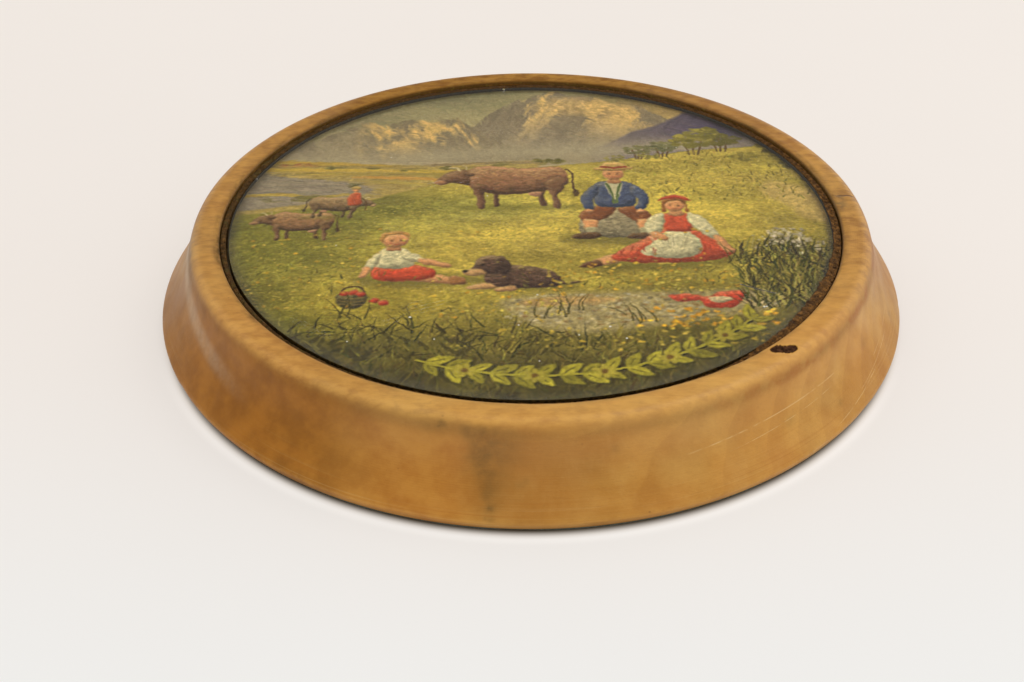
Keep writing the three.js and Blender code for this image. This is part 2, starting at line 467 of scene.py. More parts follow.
# ---- the picture, from the sky down to the near edge ------------------------------------------
def paint_sky(cv):
    cv.cells[:] = mix((172, 160, 132), (136, 132, 104), clip01((Y - 38) / 44)[..., None])
    cv.cells += ripple(X / 26, Y / 9, 21)[..., None] * np.array([46, 38, 26])
    cv.cells += spot(30, 62, 46, 16) * np.array([20, 4, -14])
    cv.dabs(2200, (-80, 36, 80, 81), lambda x, y: 0.25 * math.sin(x / 17) + 0.1, jitter=0.35,
            length=5.0, width=1.3, spread=0.035, cover=0.55)


def mountain_range(cv, crest, base, shadow, light, seed, fade, tilt, lit_from, lit_to):
    """Hazy rock with broken patches of light between lit_from and lit_to across the picture."""
    xs, ys = as_points(crest).T
    crest = np.interp(X[0], xs, ys) + 2.6 * ripple(X[0] / 6.5, X[0] * 0, seed) * 2
    drop = crest - Y
    body = clip01(drop / 1.3 + 0.5) * clip01((Y - base) / 3 + 0.5)
    u = X + tilt * drop
    spur = fractal(u / 7.5, drop / 19, seed + 2, 5)
    rough = fractal(u / 2.3, drop / 5.0, seed + 6, 4)
    lit = clip01((spur * 0.66 + rough * 0.34 - 0.462) * 9)
    lit = lit * clip01((X - lit_from) / 6) * clip01((lit_to - X) / 8)
    lit = (lit * np.exp(-(((drop - 6) / fade) ** 2)) * 0.95)[..., None]
    rough, spur = (rough - 0.5)[..., None], (spur - 0.5)[..., None]
    haze = clip01(1 - (Y - base) / 22)[..., None]
    shadow = np.array(shadow, float) * (1 + 0.30 * rough + 0.34 * spur)
    shadow = mix(shadow, (164, 154, 136), 0.5 * haze)
    cv.lay(mix(shadow, np.array(light, float) * (1 + 0.32 * rough), lit), body * 0.90)


def paint_mountains(cv):
    mountain_range(
        cv, "-40,38 -30,44 -20,52 -11,64 -4,73 4,78 12,76 20,74 30,69 40,62 50,52 62,40", base=34,
        shadow=(142, 130, 116), light=(214, 182, 124), seed=431, fade=15, tilt=0.35,
        lit_from=-8, lit_to=46)
    for patch, cover in (
            ("1,70 8,74.5 16,74 24,70.5 33,65 30,60 20,61.5 10,63 2,64.5", 0.50),
            ("6,71 13,73 20,70.5 17,66 9,66.5", 0.45)):
        cv.fill(patch, (214, 182, 126), cover, soft=7, texture=0.35)
    mountain_range(
        cv, "-84,36 -72,43 -62,46 -54,52 -48,58 -42,56 -36,59 -29,57 -22,61 -16,53 -8,45 4,38",
        base=32, shadow=(136, 124, 106), light=(214, 180, 120), seed=451, fade=14, tilt=-0.3,
        lit_from=-52, lit_to=-10)
    cv.dabs(2200, (-78, 34, 50, 79), lambda x, y: -0.9 + 0.6 * math.sin(x / 9), jitter=0.4,
            length=2.4, width=0.7, spread=0.05, cover=0.5)


def paint_blue_slope(cv):
    """The slope on the right, and the mist along the valley."""
    xs, ys = as_points("14,38 24,46 31,53 38,57 46,64 52,68 60,64 70,56 84,44").T
    drop = np.interp(X, xs, ys) + 2.0 * ripple(X / 7, Y * 0, 471, 3) - Y
    u = X + 0.8 * drop
    colour = mix((126, 116, 124), (78, 70, 104), clip01((X - 22) / 30)[..., None])
    colour = colour * (1 + 0.34 * ripple(u / 5, drop / 16, 473)[..., None]
                       + 0.18 * ripple(u / 1.8, drop / 4, 477, 3)[..., None])
    cv.lay(colour, clip01(drop / 2.0 + 0.4) * clip01((X - 16) / 10) * 0.93)
    cv.dabs(1100, (22, 36, 82, 66), -0.75, jitter=0.25, length=3.6, width=0.8, spread=0.06,
            cover=0.55, test=lambda x, y: y < 66 - abs(x - 54) * 0.75)
    middle = 38.5 + 0.10 * X + 3 * ripple(X / 20, Y / 40, 61, 2)
    mist = 0.75 * np.exp(-(((Y - middle) / 5.0) ** 2)) * (0.55 + 0.9 * fractal(X / 14, Y / 6, 62, 3))
    cv.lay((166, 156, 138), np.clip(mist, 0, 0.85))


FIELD_STRIPS = [  # x and y of the left end, x and y of the right end, width, colour
    (-80, 33, -40, 30.5, 1.7, (178, 152, 76)), (-76, 30.6, -30, 29.4, 1.3, (150, 132, 82)),
    (-80, 28.6, -22, 27.4, 1.9, (192, 166, 78)), (-66, 26.2, -20, 25.2, 1.4, (160, 142, 76)),
    (-50, 24.2, -24, 22.8, 1.5, (196, 150, 74)), (-46, 21.6, -30, 20.2, 1.6, (176, 158, 84)),
    (-30, 31.2, 4, 33, 1.6, (140, 124, 96)),
]
FAR_BUSHES = [  # x, y, radius
    (-64, 12.6, 1.9), (-60, 12.9, 1.5), (-73, 11.6, 1.7), (-50, 19.6, 1.3), (-36, 28.6, 1.0),
    (-45, 29.4, 1.1), (-57, 29.7, 1.2), (-24, 29.6, 1.3), (-9, 31.8, 1.5), (3, 33.6, 1.9),
    (7.5, 34, 1.6),
]


def paint_valley(cv):
    rng = cv.rng
    cv.fill("-84,35 -66,33.5 -48,32 -30,31 -12,33 2,34 2,10 -84,-2", (168, 148, 88), 0.95, soft=3,
            smooth=False, texture=0.2)
    for x1, y1, x2, y2, width, colour in FIELD_STRIPS:
        cv.line([(x1, y1), ((x1 + x2) / 2, (y1 + y2) / 2 + 0.4), (x2, y2)], width, colour, 0.85)
    # the lake, its ripples and a spit of land
    cv.fill("-84,26 -70,24.5 -60,23 -50,21 -44,17 -50,12.5 -62,9.5 -84,6", (146, 136, 128), 0.95,
            soft=2, texture=0.12)
    for _ in range(60):
        x, y = rng.uniform(-80, -46), rng.uniform(9, 24)
        cv.stroke(x, y, rng.normal(0, 0.05), rng.uniform(3, 8), 0.5,
                  (164, 154, 142) if rng.random() < 0.55 else (124, 116, 112), 0.55)
    cv.line("-80,13.5 -70,14.5 -60,13 -51,14.6", 1.5, (178, 156, 82), 0.85)
    for x, y, r in FAR_BUSHES:
        for _ in range(7):
            cv.oval(x + rng.normal(0, r * 0.5), y + rng.normal(0, r * 0.3), r * 0.7, r * 0.55, 0,
                    np.array([112, 106, 62]) * rng.uniform(0.8, 1.25), 0.8)
    for x, y in [(-70.5, 30.8), (-66.5, 31.4), (-63.5, 30.9)]:  # far barns
        cv.fill(place("-1.2,-0.6 1.2,-0.6 1.2,0.4 0,1.2 -1.2,0.4", x, y), (176, 128, 84), 0.9,
                smooth=False)
        cv.fill(place("-1.4,0.4 0,1.4 1.4,0.4", x, y), (132, 88, 64), 0.9, smooth=False)
    cv.dabs(1500, (-80, 8, 2, 34), 0.02, jitter=0.12, length=3.4, width=0.6, spread=0.06,
            cover=0.55, test=lambda x, y: y > hill(x))


FIELD_DEPTHS = [0, 8, 24, 42, 62, 78, 100, 120]  # distance below the crest, for each colour
FIELD_COLOURS = np.array([
    [182, 164, 84], [186, 170, 82], [184, 168, 80], [178, 160, 78], [160, 146, 66],
    [132, 120, 54], [98, 90, 44], [84, 80, 38]], float)
FIELD_SPOTS = [  # x, y, half width, half height, change of colour
    (-8, -2, 40, 15, (8, 7, 5)), (-34, 6, 34, 15, (-34, -26, -10)),
    (-10, 8, 22, 9, (-16, -10, -2)), (-44, -38, 30, 15, (22, 16, 2)),
    (58, 14, 24, 14, (14, 12, 6)),
]


def paint_pasture(cv):
    down = hill(X) - Y
    on = clip01(down / 0.7)
    field = np.stack([np.interp(down, FIELD_DEPTHS, FIELD_COLOURS[:, i]) for i in range(3)], -1)
    field += ripple(X / 17, Y / 6, 71)[..., None] * np.array([78, 70, 34])
    left = clip01((-22 - X) / 40)[..., None]
    field = field * (1 - 0.20 * left) - left * np.array([10, 2, 4])
    right = (clip01((X - 54) / 26) * clip01((-4 - Y) / 18))[..., None]
    field = field * (1 - 0.26 * right)
    for x, y, rx, ry, change in FIELD_SPOTS:
        field += spot(x, y, rx, ry) * np.array(change)
    cv.lay(field, on)
    cv.line([(x, hill(x) - 0.4) for x in np.linspace(-80, 80, 24)], 0.7, (150, 138, 70), 0.5)
    # rolling banks at the right
    for bank, colour in (
            ("20,30 34,33 50,36 66,38 84,44 84,34 60,31 40,27 26,25", (152, 138, 70)),
            ("30,24 46,27 62,27 84,32 84,25 60,21 42,19", (184, 164, 84)),
            ("44,19 60,20.5 84,26 84,16 66,13 50,12", (160, 146, 72))):
        cv.fill(bank, colour, 0.6, soft=5)
    cv.dabs(7200, (-80, -50, 80, 46), lambda x, y: 0.12 + 0.25 * math.sin(x / 21 + y / 13),
            jitter=0.3, length=2.6, width=0.75, spread=0.060, cover=0.62,
            test=lambda x, y: y < hill(x) - 0.6, bend=0.3)
    cv.dabs(2600, (-80, -80, 80, 30), 1.35, jitter=0.4, length=1.7, width=0.5, spread=0.085,
            cover=0.55, test=lambda x, y: y < hill(x) - 4, bend=0.3)
    # specks of gold and shade
    speck = fractal(X / 0.62, Y / 0.42, 131, 3)
    drift = fractal(X / 9, Y / 5, 135, 4)
    tuft = ripple(X / 1.7, Y / 1.3, 137, 3)
    on = on * clip01(down / 6)
    cv.cells *= 1 + (on * (0.20 * (speck - 0.5) + 0.26 * tuft))[..., None]
    gold = clip01((speck - 0.66) * 9) * clip01((drift - 0.46) * 6)
    cv.lay((212, 190, 96), 0.55 * gold * on)
    deep = clip01((0.34 - speck) * 9) * clip01((0.56 - drift) * 6)
    cv.lay((96, 92, 44), 0.40 * deep * on)
    # a worn stony patch on the right
    cv.fill("66,22 74,20 82,12 82,0 74,2 70,9 64,15", (204, 176, 120), 0.75, soft=5, texture=0.2)


TREES = [  # x, y, radius, colour in shade, colour in light, whether it shows a trunk
    (31, 40.5, 3.2, (112, 110, 76), (146, 140, 92), True),
    (38, 42.5, 3.6, (104, 104, 74), (140, 136, 90), True),
    (34, 36.8, 2.6, (122, 116, 62), (160, 150, 82), False),
    (47, 46.5, 5.2, (112, 106, 52), (172, 160, 80), True),
    (55, 47.5, 4.6, (104, 98, 50), (164, 152, 78), True),
    (51, 51.2, 4.2, (118, 112, 54), (178, 166, 84), False),
    (70, 42, 4.4, (110, 102, 52), (158, 144, 74), False),
    (61, 36.5, 3.2, (124, 114, 56), (168, 152, 78), False),
    (76, 33, 4.0, (106, 98, 50), (150, 138, 72), False),
    (24, 35.6, 2.4, (130, 122, 66), (166, 154, 84), False),
]


def paint_trees_and_cattle(cv):
    for row in TREES:
        tree(cv, *row)
    grass(cv, 420, (20, 12, 80, 40), [(120, 110, 54), (176, 160, 84), (140, 126, 62)],
          length=2.0, width=0.4, test=lambda x, y: y < hill(x) - 1)
    cow(cv, -5.5, 18.6, size=1.02, flip=False, coat=(150, 110, 84), seed=101)
    cow(cv, -62.5, -2.6, size=0.62, flip=False, coat=(148, 112, 82), seed=102)
    cow(cv, -53.0, 7.4, size=0.5, flip=True, coat=(142, 116, 88), seed=103)
    # a distant herder
    cv.form("-49.6,15.2 -47.4,15.2 -46.6,9.2 -50.4,9.2", (186, 92, 64), depth=0.5)
    cv.ball(-48.5, 17, 1.1, 1.35, 0, SKIN, depth=0.4, count=16)
    cv.form("-50.2,17.9 -48.6,19.3 -46.9,17.9 -48.5,17.4", (176, 150, 92), depth=0.3)
    cv.line("-46.8,12.6 -45.4,11 -45.1,6", 0.35, (96, 70, 44), 0.8)


def paint_ground_shadows(cv):
    for shape in ("9,-7.6 20,-6 33,-8 35,-11 22,-12.6 9,-10",
                  "16,-21 34,-19.5 50,-16 57,-15 54,-21 34,-24.5 18,-24",
                  "-44,-27.5 -32,-26 -16,-27 -14,-30 -28,-32.6 -43,-31.4",
                  "-14,-28.6 0,-28.2 12,-30.6 9,-33.8 -8,-33.6"):
        cv.fill(shape, (96, 90, 42), 0.62, soft=6)


# In the tables given to forms, a row is: outline, colour, depth, texture, edge.
def paint_older_child(cv):
    """A child on a boulder in a blue jacket and brown shorts."""
    jacket, shorts = (74, 84, 120), (128, 78, 48)
    cv.forms([
        ("14,3 18,6.6 27,6.8 32.4,3.4 33.6,-3 31,-7.4 21,-8.2 14,-6.6 12.8,-1.6",
         (142, 132, 112), 1.8, 0.35, 0.2),
        ("27.4,9 31.6,5.4 32.6,0.6 29.6,-1.2 26.6,1.8 23.6,6.6", shorts, 1.0, 0.2, 0.35),
        ("18.8,9.4 23.4,9.2 22.4,4.6 18.6,0.6 14.2,0.2 13.2,4.2", shorts, 1.0, 0.2, 0.35),
    ])
    for dx in (0.0, 14.6):  # bare shins, grey socks, boots
        cv.forms([
            (place("14.2,1 17.8,0.6 17.4,-4.8 14.8,-4.8", dx), SKIN, 0.7, 0.08, 0.25),
            (place("14.6,-3.2 17.6,-3.2 17.4,-6.4 14.9,-6.4", dx), (158, 152, 128), 0.5),
            (place("12.2,-6.2 17.8,-5.8 17.9,-8.6 11.4,-8.8", dx), (84, 58, 40), 0.6, 0.12, 0.3),
        ])
    cv.form("17.8,20.6 20.6,22 25.6,22 28.4,20.4 29,15 27.8,8.4 18.6,8.4 17.2,14.6", jacket,
            depth=1.4, texture=0.2, edge=0.4)
    cv.fill("21,21.4 25.2,21.4 24.6,15 23.2,11.6 21.8,15", (196, 190, 160), 0.95)
    cv.line("21.3,20.8 22.3,15.6 22.9,10", 0.75, (96, 112, 74), 0.9)
    cv.line("24.9,20.8 24,15.6 23.6,10", 0.75, (96, 112, 74), 0.9)
    cv.forms([  # sleeves
        ("18.2,20.4 15.4,17.4 13.6,12.4 14.8,6.6 17.2,6.8 17.2,12 18.8,15.6", jacket, 0.9, 0.2, 0.4),
        ("28.2,20.2 31.2,17 32.6,12 31,6.8 28.6,7.2 29.4,12 27.6,15.6", jacket, 0.9, 0.2, 0.4),
    ])
    cv.ball(15.8, 5.7, 1.35, 1.1, -20, SKIN, depth=0.5, edge=0.3)
    cv.ball(29.9, 5.7, 1.35, 1.1, 20, SKIN, depth=0.5, edge=0.3)
    # neck, head, hair and hat
    cv.form("21.9,23.6 24.6,23.6 24.9,21 21.6,21", SKIN_SHADE, depth=0.4)
    cv.ball(23.2, 26.4, 3.0, 3.6, 0, SKIN, depth=1.0, texture=0.05, edge=0.25)
    cv.fill("19.9,27.4 20.6,29.8 23.2,30.6 26,29.8 26.6,27.4 25.6,28.9 23.2,29.2 20.8,28.9",
            (124, 84, 48), 0.9)
    face(cv, 23.2, 26.2, 3.1)
    cv.ball(23.3, 29.5, 5.6, 1.35, 3, (188, 152, 92), depth=0.5, edge=0.35)
    cv.form("19.8,29.9 20.6,32.6 23.4,33.4 26.2,32.6 27,29.9 23.4,29.4", (196, 160, 98),
            depth=0.9, texture=0.15, edge=0.3)
    cv.line("20,30.4 23.4,29.9 26.8,30.5", 0.8, (150, 66, 50), 0.9)


def paint_sitting_child(cv):
    """A child on the grass in a red frock with a pale apron and sleeves."""
    rng = cv.rng
    red = (192, 84, 60)
    cv.forms([  # leg, shoe, skirt, apron
        ("21.6,-16.6 16.4,-19.4 14.8,-21.4 17.2,-22.2 23.6,-20", SKIN, 0.6, 0.12, 0.25),
        ("17.4,-19.6 14.2,-20.6 12.6,-22.4 15,-23.4 18.4,-22", (96, 62, 44), 0.5, 0.12, 0.3),
        ("36,-3.6 43,-3.8 49.6,-9 53.4,-15.2 47.6,-19.4 37,-20.8 26.6,-20.6 20.8,-18.4 "
         "24.4,-13.4 30.4,-8.4", red, 2.0, 0.25, 0.35),
        ("37,-4.2 41.6,-4.6 44.8,-9.4 44.6,-15.4 40,-18.4 32.6,-18 28.8,-15.4 33,-9.4",
         WHITE, 1.5, 0.22, 0.15),
    ])
    for k in range(26):  # folds of the apron
        x = rng.uniform(31, 43)
        cv.stroke(x, rng.uniform(-9, -5.4), -1.65 + (38 - x) * 0.06, rng.uniform(5, 9), 0.4,
                  (166, 156, 132) if k % 2 else (222, 216, 192), 0.5, bend=0.3)
    for k in range(16):  # folds of the skirt
        x = rng.uniform(23, 33) if k % 2 else rng.uniform(44, 52)
        cv.stroke(x, rng.uniform(-16, -12), -1.7 + rng.normal(0, 0.3), rng.uniform(3, 5), 0.5,
                  (146, 56, 44), 0.5, bend=0.3)
    cv.forms([  # bodice, sleeves, hands, neck
        ("35.6,3.8 42.8,3.8 43.2,-4.4 36,-4.4", red, 1.1, 0.15, 0.35),
        ("35.9,4.6 32.6,3 30.4,-1.8 31.4,-6.6 34.2,-6.2 35.8,-1.4", WHITE, 1.1, 0.2, 0.3),
        ("42.4,4.6 46.2,2.8 48.6,-2.4 50.2,-7.8 47.8,-8.8 44.6,-4.2 42.4,-0.4",
         WHITE, 1.1, 0.2, 0.3),
        ("48.2,-7.4 50.4,-7.6 52.6,-12.6 53.6,-15 51.2,-15.8 49.6,-12.6", SKIN, 0.6, 0.12, 0.3),
        ("31.6,-5.8 34,-5.6 36.2,-8.4 35.4,-10 32.6,-8.4", SKIN, 0.5, 0.12, 0.3),
        ("37.8,6.2 40.8,6.2 41.2,3.4 37.4,3.4", SKIN_SHADE, 0.4),
    ])
    cv.ball(39.2, 8.8, 2.9, 3.4, 0, SKIN, depth=1.0, texture=0.05, edge=0.25)
    cv.form("36,9.4 36.4,12.2 39.2,13.2 42.2,12.2 42.6,9 43,5.4 41.9,5.2 42,9.2 39.4,11.4 "
            "37,9.6 36.6,5.4 35.6,5.6", (150, 100, 56), depth=0.6, edge=0.2)
    face(cv, 39.2, 8.5, 2.9)
    cv.form("34.8,11 36.6,13.4 39.4,14.4 42.2,13.4 43.8,10.9 41.4,12 39.2,12.3 37,12",
            (188, 74, 54), depth=0.7, edge=0.3)


def paint_small_child(cv):
    """A small child sitting, in a pale shirt and red shorts."""
    cv.forms([
        # leg, foot, shorts
        ("-37.6,-25.6 -27.8,-25.4 -20.6,-27.6 -18.6,-29.8 -21.6,-30.8 -30,-29.8 -37.6,-29.4",
         SKIN, 0.9, 0.06, 0.3),
        ("-20.8,-27.4 -17.4,-27.6 -16.4,-30.6 -20.4,-31", (150, 104, 66), 0.5, 0.12, 0.3),
        ("-39.4,-22 -31.4,-21.6 -25.4,-23.8 -25,-27.6 -30.6,-29.4 -38.8,-29.2 -41.2,-26",
         (196, 78, 54), 1.2, 0.2, 0.4),
        # shirt, sleeves and hands, neck
        ("-38.2,-13.6 -33.6,-13.4 -31.2,-17 -31,-22.8 -39.8,-23 -40.6,-17.6",
         WHITE, 1.3, 0.22, 0.35),
        ("-34.4,-14.6 -31.4,-15.6 -27.6,-18.6 -28.6,-20.8 -33.2,-18.8", WHITE, 0.8, 0.2, 0.3),
        ("-28.6,-18.4 -23.4,-20.2 -20.6,-21.6 -21.4,-23.2 -25.6,-22.2 -29,-20.6",
         SKIN, 0.6, 0.12, 0.3),
        ("-39.2,-15.6 -41.8,-18.6 -43,-23.6 -41.2,-24.6 -39.2,-20", WHITE, 0.8, 0.2, 0.3),
        ("-43.2,-23.2 -41.2,-23.4 -42.2,-27.8 -44,-27.8", SKIN, 0.5, 0.12, 0.3),
        ("-37.4,-12.6 -34.4,-12.6 -34.2,-14.8 -37.6,-14.8", SKIN_SHADE, 0.4),
    ])
    cv.ball(-35.8, -9.6, 3.5, 3.7, 0, SKIN, depth=1.2, texture=0.05, edge=0.25)
    cv.form("-39.8,-9.6 -39.4,-6.4 -36.4,-4.8 -33.2,-5.6 -31.9,-8.6 -33.4,-7.2 -35.8,-6.6 "
            "-38.2,-7.6 -38.8,-10.8", (186, 140, 80), depth=0.8, texture=0.25, edge=0.25)
    face(cv, -35.5, -9.9, 3.4, turn=4)


def paint_puppy(cv):
    """A dark puppy lying down, its head to the left."""
    rng = cv.rng
    coat = (84, 62, 54)
    cv.form("-10.4,-22.6 -5,-21.8 0.6,-22.6 5.6,-25 7.6,-29 5.8,-32.2 -1.4,-32.8 -8.6,-32.6 "
            "-11.8,-28.6", coat, depth=1.6, texture=0.4, warm=0.35, edge=0.3)
    cv.forms([  # tail and two paws
        ("5.8,-30.6 9,-31.2 12.2,-30.2 12.4,-29.4 9,-30 6.4,-29", coat, 0.4),
        ("-10.8,-30.4 -15.6,-31.6 -16,-33 -11.4,-33.2 -8.4,-32.4",
         (186, 146, 104), 0.6, 0.12, 0.3),
        ("-4.6,-31.4 -9,-33 -8.6,-34.2 -3.4,-33.8", (176, 136, 98), 0.5, 0.12, 0.3),
    ])
    # head, muzzle, nose, eye and ear
    cv.form("-14.6,-22 -13.6,-18.6 -10.2,-17.2 -6.6,-18.4 -5.8,-22.2 -8.2,-25.4 -12.2,-26.2 "
            "-15.4,-25.4", coat, depth=1.1, texture=0.3, warm=0.4, edge=0.3)
    cv.form("-13.4,-23.6 -17,-24.4 -17.2,-26.2 -14.2,-27 -11.2,-25.6", (182, 144, 104),
            depth=0.6, edge=0.25)
    cv.oval(-16.9, -24.9, 0.7, 0.6, 0, (40, 30, 28), 0.95)
    cv.oval(-12.6, -22, 0.5, 0.5, 0, (30, 22, 20), 0.95)
    cv.form("-9.4,-18.6 -6.2,-19.4 -4.8,-23.4 -6.6,-26.6 -8.8,-24.2", np.array(coat) * 0.78,
            depth=0.7, texture=0.3)
    for _ in range(130):  # fur
        x, y = rng.uniform(-13, 6), rng.uniform(-32, -19)
        here = cv.at(x, y)
        if here[0] < 110 and here[1] < 92:
            cv.stroke(x, y, -0.5 + rng.normal(0, 0.5), 1.6, 0.3, here * rng.uniform(0.6, 1.7),
                      0.6, bend=0.2)


def paint_basket(cv):
    """A basket of red apples."""
    cv.form("-48.4,-35.6 -41.2,-35.6 -42.4,-41.4 -47.4,-41.4", (92, 84, 54), depth=0.9,
            texture=0.3, edge=0.35)
    cv.line("-48,-36 -46.6,-32.6 -43,-32.6 -41.4,-36", 0.6, (92, 74, 44), 0.95)
    for x, y in as_points("-46.8,-35.4 -44.4,-34.8 -42.6,-35.6 -39.2,-38.6 -36.8,-39.6"):
        cv.ball(x, y, 1.35, 1.25, 0, (188, 72, 52), depth=0.5, edge=0.3, count=14)
    for y in (-37.2, -38.8, -40.2):
        cv.line([(-48, y), (-44.8, y - 0.3), (-41.6, y)], 0.35, (142, 122, 74), 0.6)


def paint_track(cv):
    """A stony track at the lower right, with a red cloth on it."""
    rng = cv.rng
    cv.fill("-8,-38.4 6,-35.4 22,-34.4 40,-34 58,-33 64,-36.6 58,-42.4 44,-46.4 30,-50 14,-53 "
            "2,-50.4 -4,-45", (166, 152, 116), 0.85, soft=7, texture=0.25)
    for _ in range(720):
        x, y = rng.uniform(-6, 62), rng.uniform(-52, -34)
        if not (-49 - 0.03 * x < y < -35.5 + 0.02 * x and y > -53 + max(x - 14, 0) * 0.28):
            continue
        pick = rng.random()
        colour = next(c for share, c in ((0.4, (192, 180, 148)), (0.75, (130, 120, 96)),
                                         (0.9, (150, 120, 78)), (1.0, (176, 170, 160)))
                      if pick < share)
        cv.oval(x, y, rng.uniform(0.3, 1.0), rng.uniform(0.2, 0.5), rng.uniform(-20, 20),
                np.array(colour) * rng.uniform(0.85, 1.12), 0.8, count=10)
    cv.fill("-2,-38.6 8,-36.8 22,-37.4 14,-40.2 0,-41", (182, 142, 88), 0.6, soft=3, texture=0.3)
    cv.form("34.4,-36.2 39.4,-35.2 44.4,-36.6 47.6,-34.4 53.8,-34.2 52.6,-38.8 49.4,-41.6 "
            "43.6,-41.2 42.2,-38.6 37.2,-39", (198, 76, 56), depth=1.0, texture=0.3, edge=0.25)
    cv.form("44.2,-37.2 49,-36.4 50.6,-38.2 46.4,-39.4", (208, 188, 156), depth=0.5)


YELLOWS = [(214, 178, 62), (226, 196, 92), (204, 158, 56), (198, 184, 86)]
YELLOW_BEDS = [  # count, box, size
    (150, (-74, -48, 74, -4), 0.42), (120, (4, -34, 62, -20), 0.62),
    (60, (-30, -46, 10, -34), 0.55), (70, (-74, -44, -44, -8), 0.45),
]


def in_tufts(x, y):
    """Where the near grass grows: in patches, and off the track."""
    patch = fractal(np.array(x / 9.0), np.array(y / 7.0), 91, 2) > 0.52
    return patch and not (-6 < x < 60 and -50 < y < -35)


def paint_near_plants(cv):
    rng = cv.rng
    for count, box, size in YELLOW_BEDS:
        flowers(cv, count, box, YELLOWS, size)
    flowers(cv, 60, (26, -50, 62, -42), [(224, 168, 52), (232, 188, 74)], size=0.85)
    grass(cv, 700, (-76, -52, 76, -24),
          [(86, 80, 36), (122, 114, 52), (160, 148, 74), (70, 66, 32)], length=2.4, width=0.38,
          lean=0.5, cover=0.55, test=in_tufts)
    for cx, cy, count in [(68, -8, 26), (72, -13, 18), (64, -11, 12)]:
        # pale blossom on dark twigs
        for _ in range(count * 2):
            cv.stroke(cx + rng.normal(0, 2.0), cy - 5 + rng.normal(0, 1.5),
                      math.pi / 2 + rng.normal(0, 0.55), rng.uniform(3, 8), 0.4, (66, 60, 34),
                      0.8, bend=rng.normal(0, 0.8))
        flowers(cv, count * 3, (cx - 5, cy - 3.5, cx + 5, cy + 4.5),
                [(196, 184, 172), (214, 204, 186), (168, 158, 150)], size=0.6)
    grass(cv, 520, (54, -42, 78, -14), [(62, 60, 30), (92, 88, 42), (146, 138, 74), (52, 50, 28)],
          length=7.0, width=0.55, lean=0.5)


LONG_BLADES = [  # x, y, length, bend
    (-46, -46, 9, 3), (-43, -45, 8, 4), (8, -44, 11, 5), (12, -43, 9, -4), (4, -45, 8, -5),
    (24, -46, 10, 5), (28, -47, 8, 4), (52, -20, 10, 3), (55, -22, 9, -3), (60, -30, 8, 4),
    (-30, -50, 8, 4), (-24, -52, 7, -3),
]


def paint_foreground(cv):
    rng = cv.rng
    top = -53.5 - 5 * np.cos((X - 4) / 34) + 7 * ripple(X / 9, Y / 60, 81)
    murk = ripple(X / 5, Y / 4, 82)[..., None] * np.array([70, 66, 32])
    murk = murk + ripple(X / 1.2, Y / 1.2, 83, 3)[..., None] * np.array([30, 28, 14])
    cv.lay(np.array([86, 78, 38]) + murk, clip01((top - Y) / 6) * 0.90)
    grass(cv, 1500, (-66, -80, 70, -54),
          [(66, 60, 28), (80, 74, 34), (100, 92, 42), (114, 106, 50), (72, 66, 32)],
          length=4.6, width=0.6, lean=0.55, cover=0.5)
    grass(cv, 90, (-60, -64, 16, -50), [(52, 48, 24), (60, 54, 26)], length=8.0, width=0.5,
          lean=0.8, cover=0.75)
    grass(cv, 130, (-60, -66, 66, -50), [(150, 140, 66), (136, 126, 58)], length=4.6, width=0.4,
          lean=0.6, cover=0.6)
    flowers(cv, 90, (-8, -60, 62, -50), [(196, 168, 62), (176, 160, 66), (214, 188, 88)], 0.6)
    for x, y, length, bend in LONG_BLADES:
        for _ in range(3):
            cv.stroke(x + rng.normal(0, 1.2), y + rng.normal(0, 1),
                      math.pi / 2 + rng.normal(0, 0.35), length * rng.uniform(0.8, 1.2), 0.5,
                      (74, 68, 32), 0.75, bend * rng.uniform(0.6, 1.2), taper=0.9)
    for _ in range(40):  # broad leaves, lower left
        x, y = rng.uniform(-56, -14), rng.uniform(-66, -52)
        cv.stroke(x, y, rng.uniform(0.3, 2.8), rng.uniform(3, 6), 1.4,
                  (64, 58, 28) if rng.random() < 0.6 else (104, 96, 44), 0.6,
                  rng.normal(0, 0.8), taper=0.8)


LEAF = "0,0 1.6,1.25 3.6,1.35 6.2,0 3.6,-1.35 1.6,-1.25"


def paint_garland(cv):
    """A garland of plain leaves along the lower edge, laid over its own shadow."""
    green, shade = (158, 150, 54), (52, 48, 22)

    def stem(angle, dx, dy):
        turn = math.radians(angle)
        return 1.5 + 70.6 * math.cos(turn) + dx, 0.5 + 70.6 * math.sin(turn) + dy

    for dx, dy, lit, colour, cover in ((0.4, -0.45, False, shade, 0.75),
                                       (0, 0, True, green, 0.95)):
        cv.line([stem(a, dx, dy) for a in np.linspace(-114, -40, 30)], 0.8, colour, cover)
        for i, a in enumerate(np.linspace(-112, -42, 17)):
            for side in (-1, 1):
                leaf = place(LEAF, *stem(a, dx, dy), 1.08 + 0.12 * math.sin(i * 2.3 + side),
                             turn=a + 90 + side * (40 + 5 * math.sin(i * 1.7)))
                if lit:
                    tint = np.array(green) * (1.0 + 0.10 * math.sin(i * 3.1 + side))
                    cv.fill(leaf, tint, 0.95, texture=0.22, seed=140 + i)
                    cv.line([leaf[0] * 0.8 + leaf[3] * 0.2, leaf[0] * 0.35 + leaf[3] * 0.65],
                            0.35, (104, 98, 38), 0.7)
                else:
                    cv.fill(leaf, shade, cover, soft=2)
        for a in np.linspace(-104, -50, 5):  # rosettes of six petals
            x, y = stem(a, dx, dy)
            for petal in range(6):
                turn = 60 * petal + a
                u = math.radians(turn)
                cv.oval(x + 1.7 * math.cos(u), y + 1.7 * math.sin(u), 1.25, 0.85, turn,
                        (170, 158, 64) if lit else shade, cover)
            if lit:
                cv.oval(x, y, 0.9, 0.9, 0, (118, 92, 38), 0.95)


